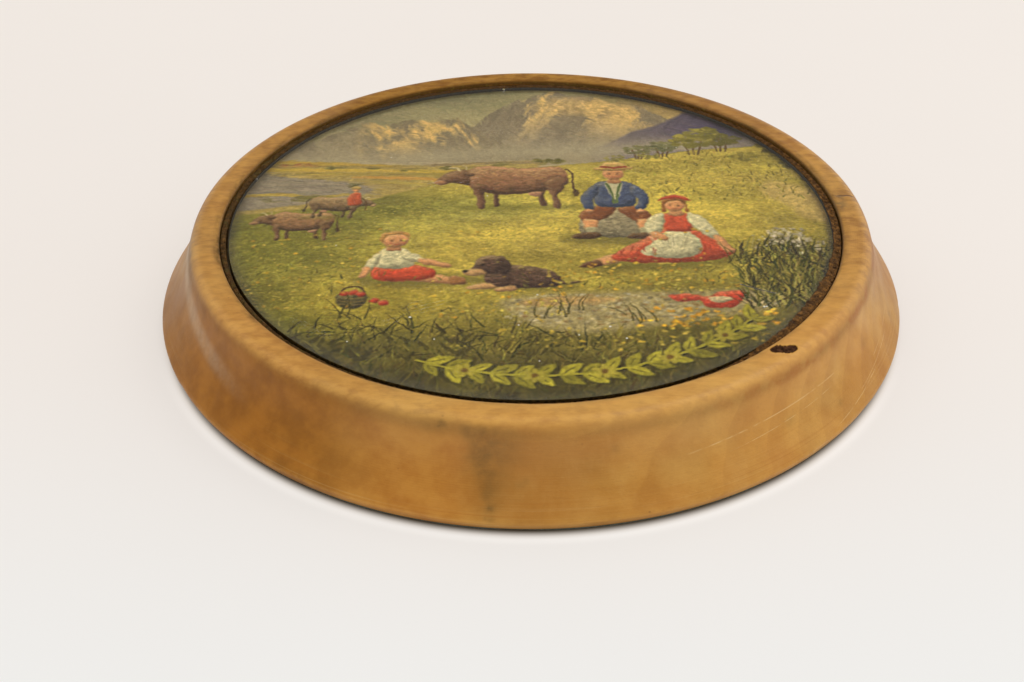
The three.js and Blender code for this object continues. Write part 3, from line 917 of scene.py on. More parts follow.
def age_print(cv):
    """Broken edges, litho grain, yellowed varnish and a darker rim."""
    cells = cv.cells
    shift_x, shift_y = (ripple(X / 1.3, Y / 1.3, seed, 3) * 5.0 for seed in (151, 155))
    rows = np.arange(CELLS)[:, None] + shift_y
    cols = np.arange(CELLS)[None, :] + shift_x
    rows, cols = (np.clip(np.round(v).astype(int), 0, CELLS - 1) for v in (rows, cols))
    cells[:] = cells[rows, cols]
    for radius, gain in ((2, 0.42), (5, 0.20)):  # firmer edges at two scales
        fuzz = [box_blur(np.pad(cells[..., i], 8, "edge"), radius)[8:-8, 8:-8] for i in range(3)]
        cells += gain * (cells - np.stack(fuzz, -1))
    cells[:] = np.clip(cells, 18, 240)
    cells *= 1 + 0.14 * (value_noise(X / 0.32, Y / 0.32, 95) - 0.5)[..., None]
    cells *= 1 + 0.06 * ripple(X / 2.2, Y / 2.2, 96, 3)[..., None]
    cells *= 1 - 0.08 * clip01(ripple(X / 22, Y / 22, 97) * 3)[..., None]
    rim = clip01((np.hypot(X, Y) - 72) / 8)
    cells *= 1 - (0.16 * rim**2 * (0.5 + fractal(X / 3, Y / 3, 98, 3)))[..., None]
    return np.clip(cells, 0, 255)


def paint_picture():
    cv = Canvas(11)
    for paint in (paint_sky, paint_mountains, paint_blue_slope, paint_valley, paint_pasture,
                  paint_trees_and_cattle, paint_ground_shadows, paint_older_child,
                  paint_sitting_child, paint_small_child, paint_puppy, paint_basket, paint_track,
                  paint_near_plants, paint_foreground, paint_garland):
        paint(cv)
    return age_print(cv)


# ---- mesh helpers -----------------------------------------------------------------------------
def new_mesh(name, verts, faces, sharp_deg=None):
    """A smooth mesh object; faces are an array of quads or a list of mixed faces."""
    mesh = bpy.data.meshes.new(name)
    verts = np.asarray(verts, np.float64) * MM
    if isinstance(faces, np.ndarray):
        mesh.vertices.add(len(verts))
        mesh.vertices.foreach_set("co", verts.astype(np.float32).ravel())
        mesh.loops.add(faces.size)
        mesh.loops.foreach_set("vertex_index", faces.astype(np.int32).ravel())
        mesh.polygons.add(len(faces))
        starts = np.arange(0, faces.size, faces.shape[1], dtype=np.int32)
        mesh.polygons.foreach_set("loop_start", starts)
        mesh.update(calc_edges=True)
        mesh.validate()
    else:
        mesh.from_pydata(verts.tolist(), [], faces)
        mesh.update()
    mesh.polygons.foreach_set("use_smooth", np.ones(len(mesh.polygons), bool))
    if sharp_deg is not None:
        mesh.set_sharp_from_angle(angle=math.radians(sharp_deg))
    mesh.update()
    ob = bpy.data.objects.new(name, mesh)
    bpy.context.scene.collection.objects.link(ob)
    return ob


def point_attribute(ob, name, values):
    layer = ob.data.attributes.new(name, "FLOAT", "POINT")
    layer.data.foreach_set("value", np.asarray(values, np.float32).ravel())


def ring_mesh(radius, height, closed=True):
    """Vertices and quads of a ring of profiles, from arrays of (profile point, segment).

    A closed profile joins its last point to its first. One that runs up the outside and down
    the inside gives faces that look out.
    """
    points, count = radius.shape
    angle = np.linspace(0, 2 * math.pi, count, endpoint=False)
    verts = np.stack([radius * np.cos(angle), radius * np.sin(angle), height], -1).reshape(-1, 3)
    i = np.arange(points if closed else points - 1)[:, None]
    j = np.arange(count)[None, :]
    i2, j2 = (i + 1) % points, (j + 1) % count
    quads = [i * count + j, i * count + j2, i2 * count + j2, i2 * count + j]
    return verts, np.stack(quads, -1).reshape(-1, 4)


def turned_disc(name, radius, height, low_z, high_z, shift_y=0.0, sharp_deg=None):
    """A solid disc whose profile runs from the underside round the edge to the top."""
    verts, quads = ring_mesh(radius, height, closed=False)
    rings, count = radius.shape
    low, high, last = len(verts), len(verts) + 1, (rings - 1) * count
    verts = np.vstack([verts, [[0, 0, low_z], [0, 0, high_z]]])
    verts[:, 1] += shift_y
    faces = quads.tolist()
    for j in range(count):
        after = (j + 1) % count
        faces += [(low, after, j), (high, last + j, last + after)]
    return new_mesh(name, verts, faces, sharp_deg)


def spread_profile(profile, segments):
    """Radius and height arrays (profile point, segment) of a profile."""
    return np.repeat(profile[:, :1], segments, 1), np.repeat(profile[:, 1:], segments, 1)


def lengths(points):
    """Length along a polyline at each of its points."""
    return np.concatenate([[0], np.cumsum(np.hypot(*(points[1:] - points[:-1]).T))])


def resample(points, step):
    """Points spaced about step apart along a polyline of (radius, z)."""
    p = np.array(points, float)
    s = lengths(p)
    t = np.linspace(0, s[-1], max(int(round(s[-1] / step)), 1) + 1)
    return np.stack([np.interp(t, s, p[:, 0]), np.interp(t, s, p[:, 1])], 1)


def wrap(angle):
    return (angle + math.pi) % (2 * math.pi) - math.pi


def near_angle(angle, deg, width):
    """1 at that direction (0 right, -90 front), falling off over width degrees."""
    return np.exp(-((wrap(angle - math.radians(deg)) / math.radians(width)) ** 2))


def bell(values, middle, width):
    return np.exp(-(((values - middle) / width) ** 2))


# ---- material helpers -------------------------------------------------------------------------
class Mat:
    """A material whose helpers add one node or a small fixed group and return its output."""

    def __init__(self, name):
        self.mat = bpy.data.materials.new(name)
        self.mat.use_nodes = True
        self.tree = self.mat.node_tree
        self.tree.nodes.clear()
        self.out = self.node("ShaderNodeOutputMaterial")
        coord = self.node("ShaderNodeTexCoord")
        scale = self.node("ShaderNodeVectorMath", operation="SCALE")
        scale.inputs["Scale"].default_value = 1000.0
        self.link(coord.outputs["Object"], scale.inputs[0])
        self.mm = scale.outputs[0]  # position in millimetres

    def node(self, kind, **settings):
        node = self.tree.nodes.new(kind)
        for key, value in settings.items():
            setattr(node, key, value)
        return node

    def link(self, source, target):
        self.tree.links.new(source, target)

    def put(self, socket, value):
        """Link an output to the socket, or set its value."""
        if isinstance(value, bpy.types.NodeSocket):
            self.link(value, socket)
            return
        if isinstance(value, tuple) and len(socket.default_value) == 4 and len(value) == 3:
            value = (*value, 1.0)
        socket.default_value = value

    def xyz(self, vector=None):
        node = self.node("ShaderNodeSeparateXYZ")
        self.link(vector or self.mm, node.inputs[0])
        return node.outputs

    def math(self, operation, a, b=None, clamp=False):
        node = self.node("ShaderNodeMath", operation=operation, use_clamp=clamp)
        self.put(node.inputs[0], a)
        if b is not None:
            self.put(node.inputs[1], b)
        return node.outputs[0]

    def add(self, a, b):
        return self.math("ADD", a, b)

    def sub(self, a, b):
        return self.math("SUBTRACT", a, b)

    def mul(self, a, *others):
        for b in others:
            a = self.math("MULTIPLY", a, b)
        return a

    def highest(self, values):
        result = values[0]
        for value in values[1:]:
            result = self.math("MAXIMUM", result, value)
        return result

    def length(self, a, b):
        return self.math("SQRT", self.add(self.mul(a, a), self.mul(b, b)))

    def fade(self, value, start, end, low=0.0, high=1.0, smooth=True):
        """Runs from low at start to high at end."""
        kind = "SMOOTHSTEP" if smooth else "LINEAR"
        node = self.node("ShaderNodeMapRange", interpolation_type=kind)
        for key, setting in (("Value", value), ("From Min", start), ("From Max", end),
                             ("To Min", low), ("To Max", high)):
            self.put(node.inputs[key], setting)
        return node.outputs[0]

    def band(self, value, outer, inner):
        """1 where the value is within inner of zero, 0 beyond outer."""
        return self.fade(self.math("ABSOLUTE", value), outer, inner)

    def vec(self, *parts):
        node = self.node("ShaderNodeCombineXYZ")
        for socket, part in zip(node.inputs, parts):
            self.put(socket, part)
        return node.outputs[0]

    def multiply_add(self, vector, factor, offset):
        node = self.node("ShaderNodeVectorMath", operation="MULTIPLY_ADD")
        for socket, value in zip(node.inputs, (vector, factor, offset)):
            self.put(socket, value)
        return node.outputs[0]

    def noise(self, freq=None, offset=(0, 0, 0), detail=3.0, rough=0.5, distort=0.0, of=None,
              scale=1.0, output="Fac"):
        """Noise on a vector, by default the position; freq holds cells per mm on x, y and z."""
        vector = of or self.mm
        if freq:
            vector = self.multiply_add(vector, freq, offset)
        node = self.node("ShaderNodeTexNoise")
        for key, value in (("Vector", vector), ("Scale", scale), ("Detail", detail),
                           ("Roughness", rough), ("Distortion", distort)):
            self.put(node.inputs[key], value)
        return node.outputs[output]

    def cells(self, scale, offset=None):
        """Distance to the nearest of scattered points, about scale of them per mm."""
        node = self.node("ShaderNodeTexVoronoi")
        vector = self.multiply_add(self.mm, (1, 1, 1), offset) if offset else self.mm
        self.put(node.inputs["Vector"], vector)
        node.inputs["Scale"].default_value = scale
        return node.outputs["Distance"]

    def mix(self, share, first, second, mode="MIX"):
        node = self.node("ShaderNodeMix", data_type="RGBA", blend_type=mode)
        for index, value in ((0, share), (6, first), (7, second)):
            self.put(node.inputs[index], value)
        return node.outputs[2]

    def mix_value(self, share, first, second):
        node = self.node("ShaderNodeMix", data_type="FLOAT")
        for index, value in ((0, share), (2, first), (3, second)):
            self.put(node.inputs[index], value)
        return node.outputs[0]

    def mix_shader(self, share, first, second):
        node = self.node("ShaderNodeMixShader")
        for socket, value in zip(node.inputs, (share, first, second)):
            self.link(value, socket)
        return node.outputs[0]

    def ramp(self, value, stops):
        """A colour ramp from stops of position and linear colour."""
        node = self.node("ShaderNodeValToRGB")
        node.color_ramp.interpolation = "EASE"
        elements = node.color_ramp.elements
        while len(elements) > 1:
            elements.remove(elements[-1])
        elements[0].position = stops[0][0]
        for index, (position, colour) in enumerate(stops):
            element = elements.new(position) if index else elements[0]
            element.color = (*colour, 1)
        self.put(node.inputs[0], value)
        return node.outputs[0]

    def attribute(self, name, output="Fac"):
        return self.node("ShaderNodeAttribute", attribute_name=name).outputs[output]

    def bump(self, height, distance, strength):
        """A bumped normal; the distance is in metres."""
        node = self.node("ShaderNodeBump")
        self.put(node.inputs["Height"], height)
        node.inputs["Distance"].default_value = distance
        node.inputs["Strength"].default_value = strength
        return node.outputs[0]

    def principled(self, **settings):
        node = self.node("ShaderNodeBsdfPrincipled")
        for key, value in settings.items():
            self.put(node.inputs[key.replace("_", " ")], value)
        return node.outputs[0]

    def finish(self, shader):
        self.link(shader, self.out.inputs["Surface"])
        return self.mat


def to_linear(colour):
    """sRGB 0 to 255 as linear 0 to 1."""
    c = np.asarray(colour) / 255.0
    return np.where(c <= 0.04045, c / 12.92, ((c + 0.055) / 1.055) ** 2.4)


def srgb(*colour):
    return tuple(to_linear(colour).tolist())


def dress(ob, material):
    ob.data.materials.clear()
    ob.data.materials.append(material)


def install(ob, material, cad_piece):
    dress(ob, material)
    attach(ob, "root")
    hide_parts(cad_piece)


# ---- the turned frame: outline ----------------------------------------------------------------
FRAME_SEGMENTS = 900
SIZE = R_OUT / 100.0
# radius in hundredths of the outer radius, and height above the foot
FOOT_OUTLINE = [(98.8, 0), (99.3, 0.7), (99.8, 1.6), (100, 2.5)]
# radius in hundredths of the outer radius, and depth below the top of the rim
RIM_OUTLINE = [
    (99.8, 20.7), (98.9, 19.3), (97.1, 16.6), (95.2, 13.3), (93.5, 10.0), (92.2, 7.0),
    (91.2, 4.1), (90.6, 2.3), (90.0, 1.1), (89.0, 0.3), (87.6, 0), (85.4, 0),
]
outer = [(r * SIZE, FOOT_Z + up) for r, up in FOOT_OUTLINE]
outer += [(r * SIZE, RIM_TOP - down) for r, down in RIM_OUTLINE]
outer += [(RECESS_R + 0.9, RIM_TOP), (RECESS_R + 0.3, RIM_TOP - 0.15), (RECESS_R, RIM_TOP - 0.6)]
outer = resample(curve(outer, closed=False, steps=10), 0.52)
inner = np.vstack([
    resample([(RECESS_R, RIM_TOP - 0.9), (RECESS_R, LEDGE_Z + 0.15)], 0.6),
    [(RECESS_R - 0.15, LEDGE_Z)],
    resample([(RECESS_R - 0.8, LEDGE_Z), (BORE_R + 0.3, LEDGE_Z)], 2.2),
    [(BORE_R, LEDGE_Z - 0.3)],
    resample([(BORE_R, LEDGE_Z - 1.2), (BORE_R, REBATE_Z + 0.3)], 3.5),
    [(BORE_R + 0.2, REBATE_Z)],
    resample([(BORE_R + 1.5, REBATE_Z), (REBATE_R - 0.4, REBATE_Z)], 4.0),
    [(REBATE_R, REBATE_Z - 0.2), (REBATE_R, FOOT_Z + 0.3), (REBATE_R + 0.3, FOOT_Z)],
    resample([(REBATE_R + 1.5, FOOT_Z), (97.4 * SIZE, FOOT_Z)], 2.4),
])
frame_r, frame_z = spread_profile(np.vstack([outer, inner]), FRAME_SEGMENTS)
OUTER = len(outer)
outer_length = lengths(outer)  # length along the outline from the foot
tangent = np.gradient(outer, axis=0)
tangent /= np.hypot(*tangent.T)[:, None] + 1e-9
# each outline point and direction: length from the foot, angle, and place seen from above
ALONG, TURN = np.meshgrid(
    outer_length, np.linspace(0, 2 * math.pi, FRAME_SEGMENTS, endpoint=False), indexing="ij")
wood_x, wood_y = frame_r[:OUTER] * np.cos(TURN), frame_r[:OUTER] * np.sin(TURN)


def length_at_depth(depth):
    """Outline length at that depth below the top of the rim."""
    return float(outer_length[np.argmin(np.abs(outer[:, 1] - (RIM_TOP - depth)))])


rim_corner = np.abs(outer[:, 0] - 87.6 * SIZE) + np.abs(outer[:, 1] - RIM_TOP)
U_TOP = float(outer_length[np.argmin(rim_corner)])  # where the flat top of the rim begins
U_END = float(outer_length[-1])
U_WIDE = float(outer_length[np.argmax(outer[:, 0])])  # the widest line of the foot
U_COVE, U_COVE_LINE = length_at_depth(3.6), length_at_depth(3.4)
U_FLANK = 1.2  # where the flank begins
flank_share = (ALONG - U_FLANK) / (U_TOP - U_FLANK)


def flank_length(share):
    """Outline length at a share of the way from the foot to the top of the rim."""
    return U_FLANK + share * (U_TOP - U_FLANK)


def ring_noise(seed, around, along, octaves=3, lengthwise=ALONG):
    """Noise on the outline without a seam: around is cells per turn, along is cells per mm."""
    r = around / (2 * math.pi)
    return fractal(r * np.cos(TURN) + 50 + lengthwise * along * 0.61,
                   r * np.sin(TURN) + 50 + lengthwise * along * 0.79, seed, octaves)


def edge_noise(seed, around):
    """Noise that changes only round the ring."""
    return ring_noise(seed, around, 0.0, lengthwise=ALONG * 0)


def bump_at(angle, length, angle_width, length_width):
    """A soft spot; the widths are half widths in radians and mm."""
    return np.exp(-((wrap(TURN - angle) / angle_width) ** 2
                    + ((ALONG - length) / length_width) ** 2))


# ---- the turned frame: small departures from a true turning -----------------------------------
swell = 0.05 * np.cos(2 * TURN + 0.6) * smoothstep(0, 6, ALONG)
swell += 0.10 * (ring_noise(301, 9, 0.06) - 0.5)
lathe_wave = np.sin(ALONG * 2 * math.pi / 1.15 + 0.8 * np.sin(3 * TURN))
swell += (0.014 * lathe_wave * smoothstep(2, 6, ALONG)
          * (1 - smoothstep(U_TOP - 3, U_TOP, ALONG)))
# bruised foot edge and inner edge of the rim
swell -= bell(ALONG, U_WIDE - 0.3, 1.1) * 0.18 * smoothstep(0.55, 0.8, edge_noise(305, 46))
swell -= bell(ALONG, U_END - 1.0, 0.9) * 0.16 * smoothstep(0.5, 0.8, edge_noise(307, 60))
dents = np.random.default_rng(77)
for _ in range(46):
    angle, length = dents.uniform(0, 2 * math.pi), dents.uniform(3, U_TOP)
    width = dents.uniform(0.5, 1.6)
    swell -= dents.uniform(0.03, 0.10) * bump_at(
        angle, length, width / 93, width * dents.uniform(0.6, 1.6))

# an open knot on top of the rim at the right front: a lens-shaped pit
KNOT_X, KNOT_Y, KNOT_TURN = 59.9, -61.9, math.radians(6)
KNOT_HALF_LENGTH, KNOT_HALF_WIDTH = 3.5, 1.62
off_x, off_y = wood_x - KNOT_X, wood_y - KNOT_Y
knot_u = off_x * math.cos(KNOT_TURN) + off_y * math.sin(KNOT_TURN)
knot_v = -off_x * math.sin(KNOT_TURN) + off_y * math.cos(KNOT_TURN)
knot_v = knot_v + 0.22 * np.sin(knot_u * 1.5 + 0.4)
knot_reach = ((np.abs(knot_u) / KNOT_HALF_LENGTH) ** 2.6
              + (np.abs(knot_v) / KNOT_HALF_WIDTH) ** 2.2) ** 0.5
on_top = smoothstep(U_TOP - 4, U_TOP - 2, ALONG)
knot = (1 - smoothstep(0.80, 1.14, knot_reach)) * on_top
swell -= 0.42 * (1 - smoothstep(0.55, 1.05, knot_reach)) * on_top
frame_r[:OUTER] += swell * tangent[:, 1:]
frame_z[:OUTER] -= swell * tangent[:, :1]
frame_z[:OUTER] = np.minimum(frame_z[:OUTER], RIM_TOP + 0.04)

# ---- the turned frame: dirt and painted shade, stain, wear, tone and painted light ------------
broad_noise = ring_noise(311, 14, 0.10, 4)
small_noise = ring_noise(317, 60, 0.45, 4)


def at_deg(deg, width):
    return near_angle(TURN, deg, width)


# grime_and_shade holds dirt and painted shade: the recess wall and the inner edge of the rim get
# both, the cove and the undercut and lower edge of the foot get painted shade
recess_wall = smoothstep(U_END - 0.9, U_END - 0.1, ALONG)
inner_edge = smoothstep(U_END - 2.6, U_END - 0.4, ALONG)
inner_edge = (inner_edge * (0.30 + 0.9 * smoothstep(0.45, 0.75, small_noise))
              * (0.35 + 0.65 * np.maximum(at_deg(28, 16), at_deg(190, 45))))
cove_shade = (bell(ALONG, U_COVE + 0.4, 1.5) * (0.16 + 0.34 * broad_noise)
        * (0.4 + 0.6 * np.maximum(at_deg(-25, 45), at_deg(170, 30))))
grime_and_shade = np.maximum(0.9 * recess_wall, inner_edge)
for layer in (0.30 * smoothstep(U_WIDE + 0.1, U_WIDE - 1.0, ALONG) * (0.5 + small_noise),
              0.80 * smoothstep(0.9, 0.2, ALONG), cove_shade):
    grime_and_shade = np.maximum(grime_and_shade, layer)

# the dark patch down the front of the flank, narrower downwards, with its darker cores
is_front = wood_y < 0
patch_x = wood_x + 1.4 * (ring_noise(331, 40, 0.2) - 0.5) * 4
patch_left = -17.4 + 6.0 * (1 - flank_share)
patch = (smoothstep(0.0, 3.4, patch_x - patch_left)
         * (1 - smoothstep(0.0, 1.0, (patch_x + 11.0) / (4.0 + 13.0 * clip01(flank_share))))
         * smoothstep(0.02, 0.30, flank_share)
         * (1 - smoothstep(0.84, 0.93, flank_share)) * is_front)
core = (0.5 * bell(patch_x, -10.4, 2.6) * smoothstep(0.02, 0.4, flank_share)
        * (1 - smoothstep(0.72, 0.88, flank_share)) * is_front)
core += (0.45 * bell(patch_x, -14.2, 2.2) * smoothstep(0.35, 0.5, flank_share)
         * (1 - smoothstep(0.80, 0.9, flank_share)) * is_front)
stain = 0.78 * patch * (0.50 + 0.8 * ring_noise(333, 70, 0.4))
stain += 0.40 * core * (0.4 + 1.0 * small_noise)
FRONT_SPOTS = [  # x, share of the way up, width, strength
    (-20.0, 0.885, 0.7, 1.0), (-19.4, 0.862, 0.6, 0.9), (-20.6, 0.85, 0.5, 0.7),
    (-23.0, 0.83, 2.4, 0.35), (-18.5, 0.84, 3.0, 0.30), (-9.3, 0.18, 0.9, 0.8),
    (-9.1, 0.09, 0.8, 0.9), (-10.4, 0.10, 0.5, 0.7), (-1.2, 0.43, 0.9, 0.4),
    (-2.4, 0.39, 1.2, 0.35), (19.0, 0.66, 2.0, 0.30), (14.0, 0.52, 5.0, 0.14),
]
for x, share, width, strength in FRONT_SPOTS:
    stain += strength * np.exp(
        -(((wood_x - x) / width) ** 2)
        - (((ALONG - flank_length(share)) / (width * 0.8)) ** 2)) * is_front
SIDE_SPOTS = [  # direction in degrees, share of the way up, width, strength
    (191, 0.86, 1.5, 0.9), (194, 0.84, 2.2, 0.6), (197, 0.80, 3.2, 0.45), (188, 0.9, 2.0, 0.4),
    (-14, 0.3, 1.0, 0.4), (-39, 0.28, 1.0, 0.5), (-28, 0.52, 1.4, 0.35), (-50, 0.42, 1.6, 0.3),
]
for deg, share, width, strength in SIDE_SPOTS:
    stain += strength * bump_at(
        math.radians(deg), flank_length(share), width / 92, width) * (0.5 + small_noise)
stain = clip01(stain)

wear = bell(ALONG, U_TOP - 1.2, 2.2) * (0.35 + 0.75 * broad_noise)
wear = np.maximum(wear, bell(ALONG, U_WIDE + 0.2, 0.9) * 0.55 * small_noise)
wear = np.maximum(wear, on_top * (1 - recess_wall) * (0.32 + 0.5 * broad_noise))
# random tone of the wood, then painted light and shade on each side
tone_and_light = 1.7 * (ring_noise(341, 11, 0.05) - 0.5)
SIDE_LIGHT_TONES = [  # painted light and shade, a row each: direction, width in degrees, change, where: the rim, the flank or both
    (90, 70, -1.5, on_top), (180, 60, -0.45, on_top), (-52, 30, 0.22, 1 - on_top),
    (-70, 40, 0.30, on_top), (-126, 30, 0.40, on_top), (-140, 24, -0.60, 1 - on_top),
    (186, 26, -0.80, 1 - on_top), (0, 34, -0.55, 1.0),
]
for deg, width, change, where in SIDE_LIGHT_TONES:
    tone_and_light += change * at_deg(deg, width) * where

wood = new_mesh("frame_wood", *ring_mesh(frame_r, frame_z), sharp_deg=38)
for name, values in (("grime_and_shade", grime_and_shade), ("stain", stain), ("wear", wear), ("tone_and_light", tone_and_light),
                     ("knot", knot), ("along", ALONG)):
    grid = np.zeros(frame_r.shape)
    grid[:OUTER] = values
    if name == "grime_and_shade":
        # the inside faces get a little dirt and painted shade, the wall of the recess much more
        grid[OUTER:] = 0.35
        grid[OUTER : OUTER + 14] = 0.95  # the wall of the recess
    point_attribute(wood, name, grid)


# ---- the turned frame: varnished wood ---------------------------------------------------------
SATURATION, BRIGHTNESS = 1.0, 1.0
RING_WIDTH = 5.3  # of the growth rings
# long light scratches slantwise over the flank at the right front:
# middle angle, length along the outline, slope, curl, half angle, width
SCRATCHES = [
    (-0.92, 15.8, 3.4, -9.0, 0.30, 0.15), (-0.88, 13.1, 5.0, -6.0, 0.20, 0.09),
    (-0.60, 6.0, 12.0, 0.0, 0.14, 0.10), (-0.46, 8.4, 11.0, 0.0, 0.14, 0.09),
    (-0.36, 11.0, 10.0, 0.0, 0.12, 0.08),
]


def wood_material():
    m = Mat("old_varnished_wood")
    x, y, z = m.xyz()
    grime_and_shade, stain, wear, tone_and_light, knot, along = (
        m.attribute(a) for a in ("grime_and_shade", "stain", "wear", "tone_and_light", "knot", "along"))
    turn = m.math("ARCTAN2", y, x)

    # growth rings of a board sawn well off its centre: cylinders about a line along X, far below
    wobble = m.noise((0.010, 0.03, 0.03), detail=2.0, output="Color")
    bent = m.multiply_add(wobble, (7.0, 7.0, 7.0), m.mm)
    _, bent_y, bent_z = m.xyz(bent)
    ring = m.mul(m.length(m.sub(bent_y, 30.0), m.add(bent_z, 74.0)), 1 / RING_WIDTH)
    ring = m.math("FRACT", ring)
    ring = m.mul(m.fade(ring, 0.0, 0.82), m.fade(ring, 1.0, 0.9))
    # fibre: long streaks on X, fine across it
    streak = m.noise((0.030, 0.75, 0.75), detail=5.0, rough=0.62, of=bent)
    fine = m.noise((0.10, 2.6, 2.6), (3, 7, 1), detail=4.0, rough=0.6)
    mottle = m.noise((0.10, 0.12, 0.12), (9, 2, 5), detail=4.0, rough=0.62)
    cloud = m.noise((0.022, 0.030, 0.030), (1, 8, 3), rough=0.55)
    # cross shimmer that runs up the flank
    cross = m.noise((0.15, 0.12, 0.09), (5, 5, 9), detail=4.0, rough=0.6)
    grainy = m.noise((0.9, 1.4, 1.4), (2, 4, 8), detail=4.0, rough=0.7)
    # short dark vessels and ray flecks
    fleck = m.fade(m.noise((0.55, 2.1, 2.1), (6, 1, 2), detail=2.0), 0.70, 0.78)
    fleck = m.mul(fleck, m.fade(m.noise((0.05, 0.12, 0.12), detail=2.0), 0.42, 0.66))

    figure = m.add(m.mul(streak, 0.17), m.add(m.mul(mottle, 0.50), m.mul(grainy, 0.33)))
    base = m.ramp(figure, [
        (0.26, srgb(168, 113, 38)), (0.42, srgb(184, 129, 50)), (0.55, srgb(194, 140, 60)),
        (0.70, srgb(203, 151, 71)), (0.84, srgb(210, 160, 82))])
    base = m.mix(m.mul(m.fade(ring, 0.25, 0.95), 0.22), base, srgb(150, 94, 28))
    for layer, start, end, strength, colour in (
            (cloud, 0.40, 0.72, 0.42, (184, 114, 36)), (cloud, 0.52, 0.30, 0.36, (206, 166, 92)),
            (grainy, 0.50, 0.72, 0.20, (140, 90, 28)), (grainy, 0.48, 0.28, 0.14, (224, 178, 98)),
            (cross, 0.45, 0.70, 0.13, (150, 98, 34)), (cross, 0.52, 0.34, 0.10, (222, 176, 100)),
            (fine, 0.50, 0.72, 0.12, (140, 88, 34))):
        base = m.mix(m.fade(layer, start, end, 0.0, strength), base, srgb(*colour))
    base = m.mix(m.mul(fleck, 0.07), base, srgb(112, 66, 26))
    # a few small dark specks, where dirt sits in open grain
    speck = m.fade(m.cells(0.17, (4.4, 1.7, 8.2)), 0.060, 0.036)
    speck = m.mul(speck, m.fade(m.noise((0.05, 0.05, 0.05), (7, 7, 2)), 0.52, 0.62))
    base = m.mix(m.mul(speck, 0.55), base, srgb(96, 58, 24))
    # painted light and shade: the slow changes from one side to the other, with the random tone
    base = m.mix(m.fade(tone_and_light, 0.0, -1.3, 0.0, 0.94, smooth=False), base, srgb(122, 78, 20))
    base = m.mix(m.fade(tone_and_light, 0.0, 0.9, 0.0, 0.40, smooth=False), base, srgb(212, 166, 94))
    # a golden stretch of the flank left of the front
    gold = m.mul(m.fade(turn, -2.20, -1.92), m.fade(turn, -1.66, -1.78),
                 m.fade(along, U_TOP - 2.0, U_TOP - 7.0))
    base = m.mix(m.mul(gold, 0.50), base,
                 m.ramp(mottle, [(0.3, srgb(182, 112, 30)), (0.7, srgb(212, 146, 56))]))
    # painted shade: the left front of the flank is darker and warmer, and duller in its gloss
    warm = m.mul(m.fade(turn, -3.05, -2.62), m.fade(turn, -1.92, -2.16),
                 m.fade(along, U_TOP - 1.5, U_TOP - 5.0))
    base = m.mix(m.mul(warm, 0.78), base,
                 m.ramp(mottle, [(0.3, srgb(140, 84, 16)), (0.7, srgb(172, 108, 28))]))
    # painted highlight: a greyish reflection streak that starts in the cove at the left and runs
    # down the flank
    turn_on = m.add(turn, m.mul(m.math("LESS_THAN", turn, 0.0), 2 * math.pi))
    path = m.sub(U_COVE_LINE - 1.6, m.mul(m.math("MAXIMUM", m.sub(turn_on, 3.30), 0.0), 13.0))
    cove_sheen = m.band(m.sub(along, path), 3.4, 0.4)
    cove_sheen = m.mul(cove_sheen, m.mul(m.fade(turn_on, 2.9, 3.2), m.fade(turn_on, 3.95, 3.62)))
    cove_sheen = m.mul(cove_sheen, m.fade(streak, 0.30, 0.62, 0.6, 1.0))
    base = m.mix(m.mul(cove_sheen, 0.34), base, srgb(198, 178, 150))
    # painted shade: the rim at the left is darker
    left_rim_shade = m.mul(m.fade(turn_on, 2.5, 3.0), m.fade(turn_on, 4.15, 3.6),
                     m.fade(along, U_TOP - 2.0, U_TOP + 0.5))
    base = m.mix(m.mul(left_rim_shade, 0.32), base, srgb(150, 98, 32))
    # varnish rubbed thin shows paler wood
    patchy = m.noise((0.25, 0.5, 0.5), (2, 2, 2), detail=4.0, rough=0.6)
    worn = m.math("MULTIPLY", wear, m.fade(patchy, 0.30, 0.66), clamp=True)
    base = m.mix(m.mul(worn, 0.58), base, srgb(228, 172, 80))
    # grime and painted shade (recess, cove, foot undercut), stains and the knot
    dirt = m.noise((0.8, 0.8, 0.8), (4, 1, 7), detail=5.0, rough=0.65)
    dirt_and_shade = m.math("MULTIPLY", grime_and_shade, m.fade(dirt, 0.22, 0.58, 0.45, 1.0), clamp=True)
    base = m.mix(m.mul(dirt_and_shade, 0.93), base, m.ramp(dirt, [
        (0.3, srgb(44, 30, 14)), (0.5, srgb(70, 50, 22)), (0.66, srgb(104, 82, 36)),
        (0.78, srgb(128, 106, 46))]))
    blot = m.noise((0.35, 0.6, 0.22), (8, 3, 3), detail=5.0, rough=0.65)
    stained = m.math("MULTIPLY", stain, m.fade(blot, 0.25, 0.7, 0.35, 1.0), clamp=True)
    base = m.mix(m.mul(stained, 0.74), base, srgb(104, 76, 28))
    base = m.mix(m.fade(knot, 0.25, 0.75), base,
                 m.ramp(dirt, [(0.3, srgb(38, 24, 16)), (0.7, srgb(86, 58, 40))]))
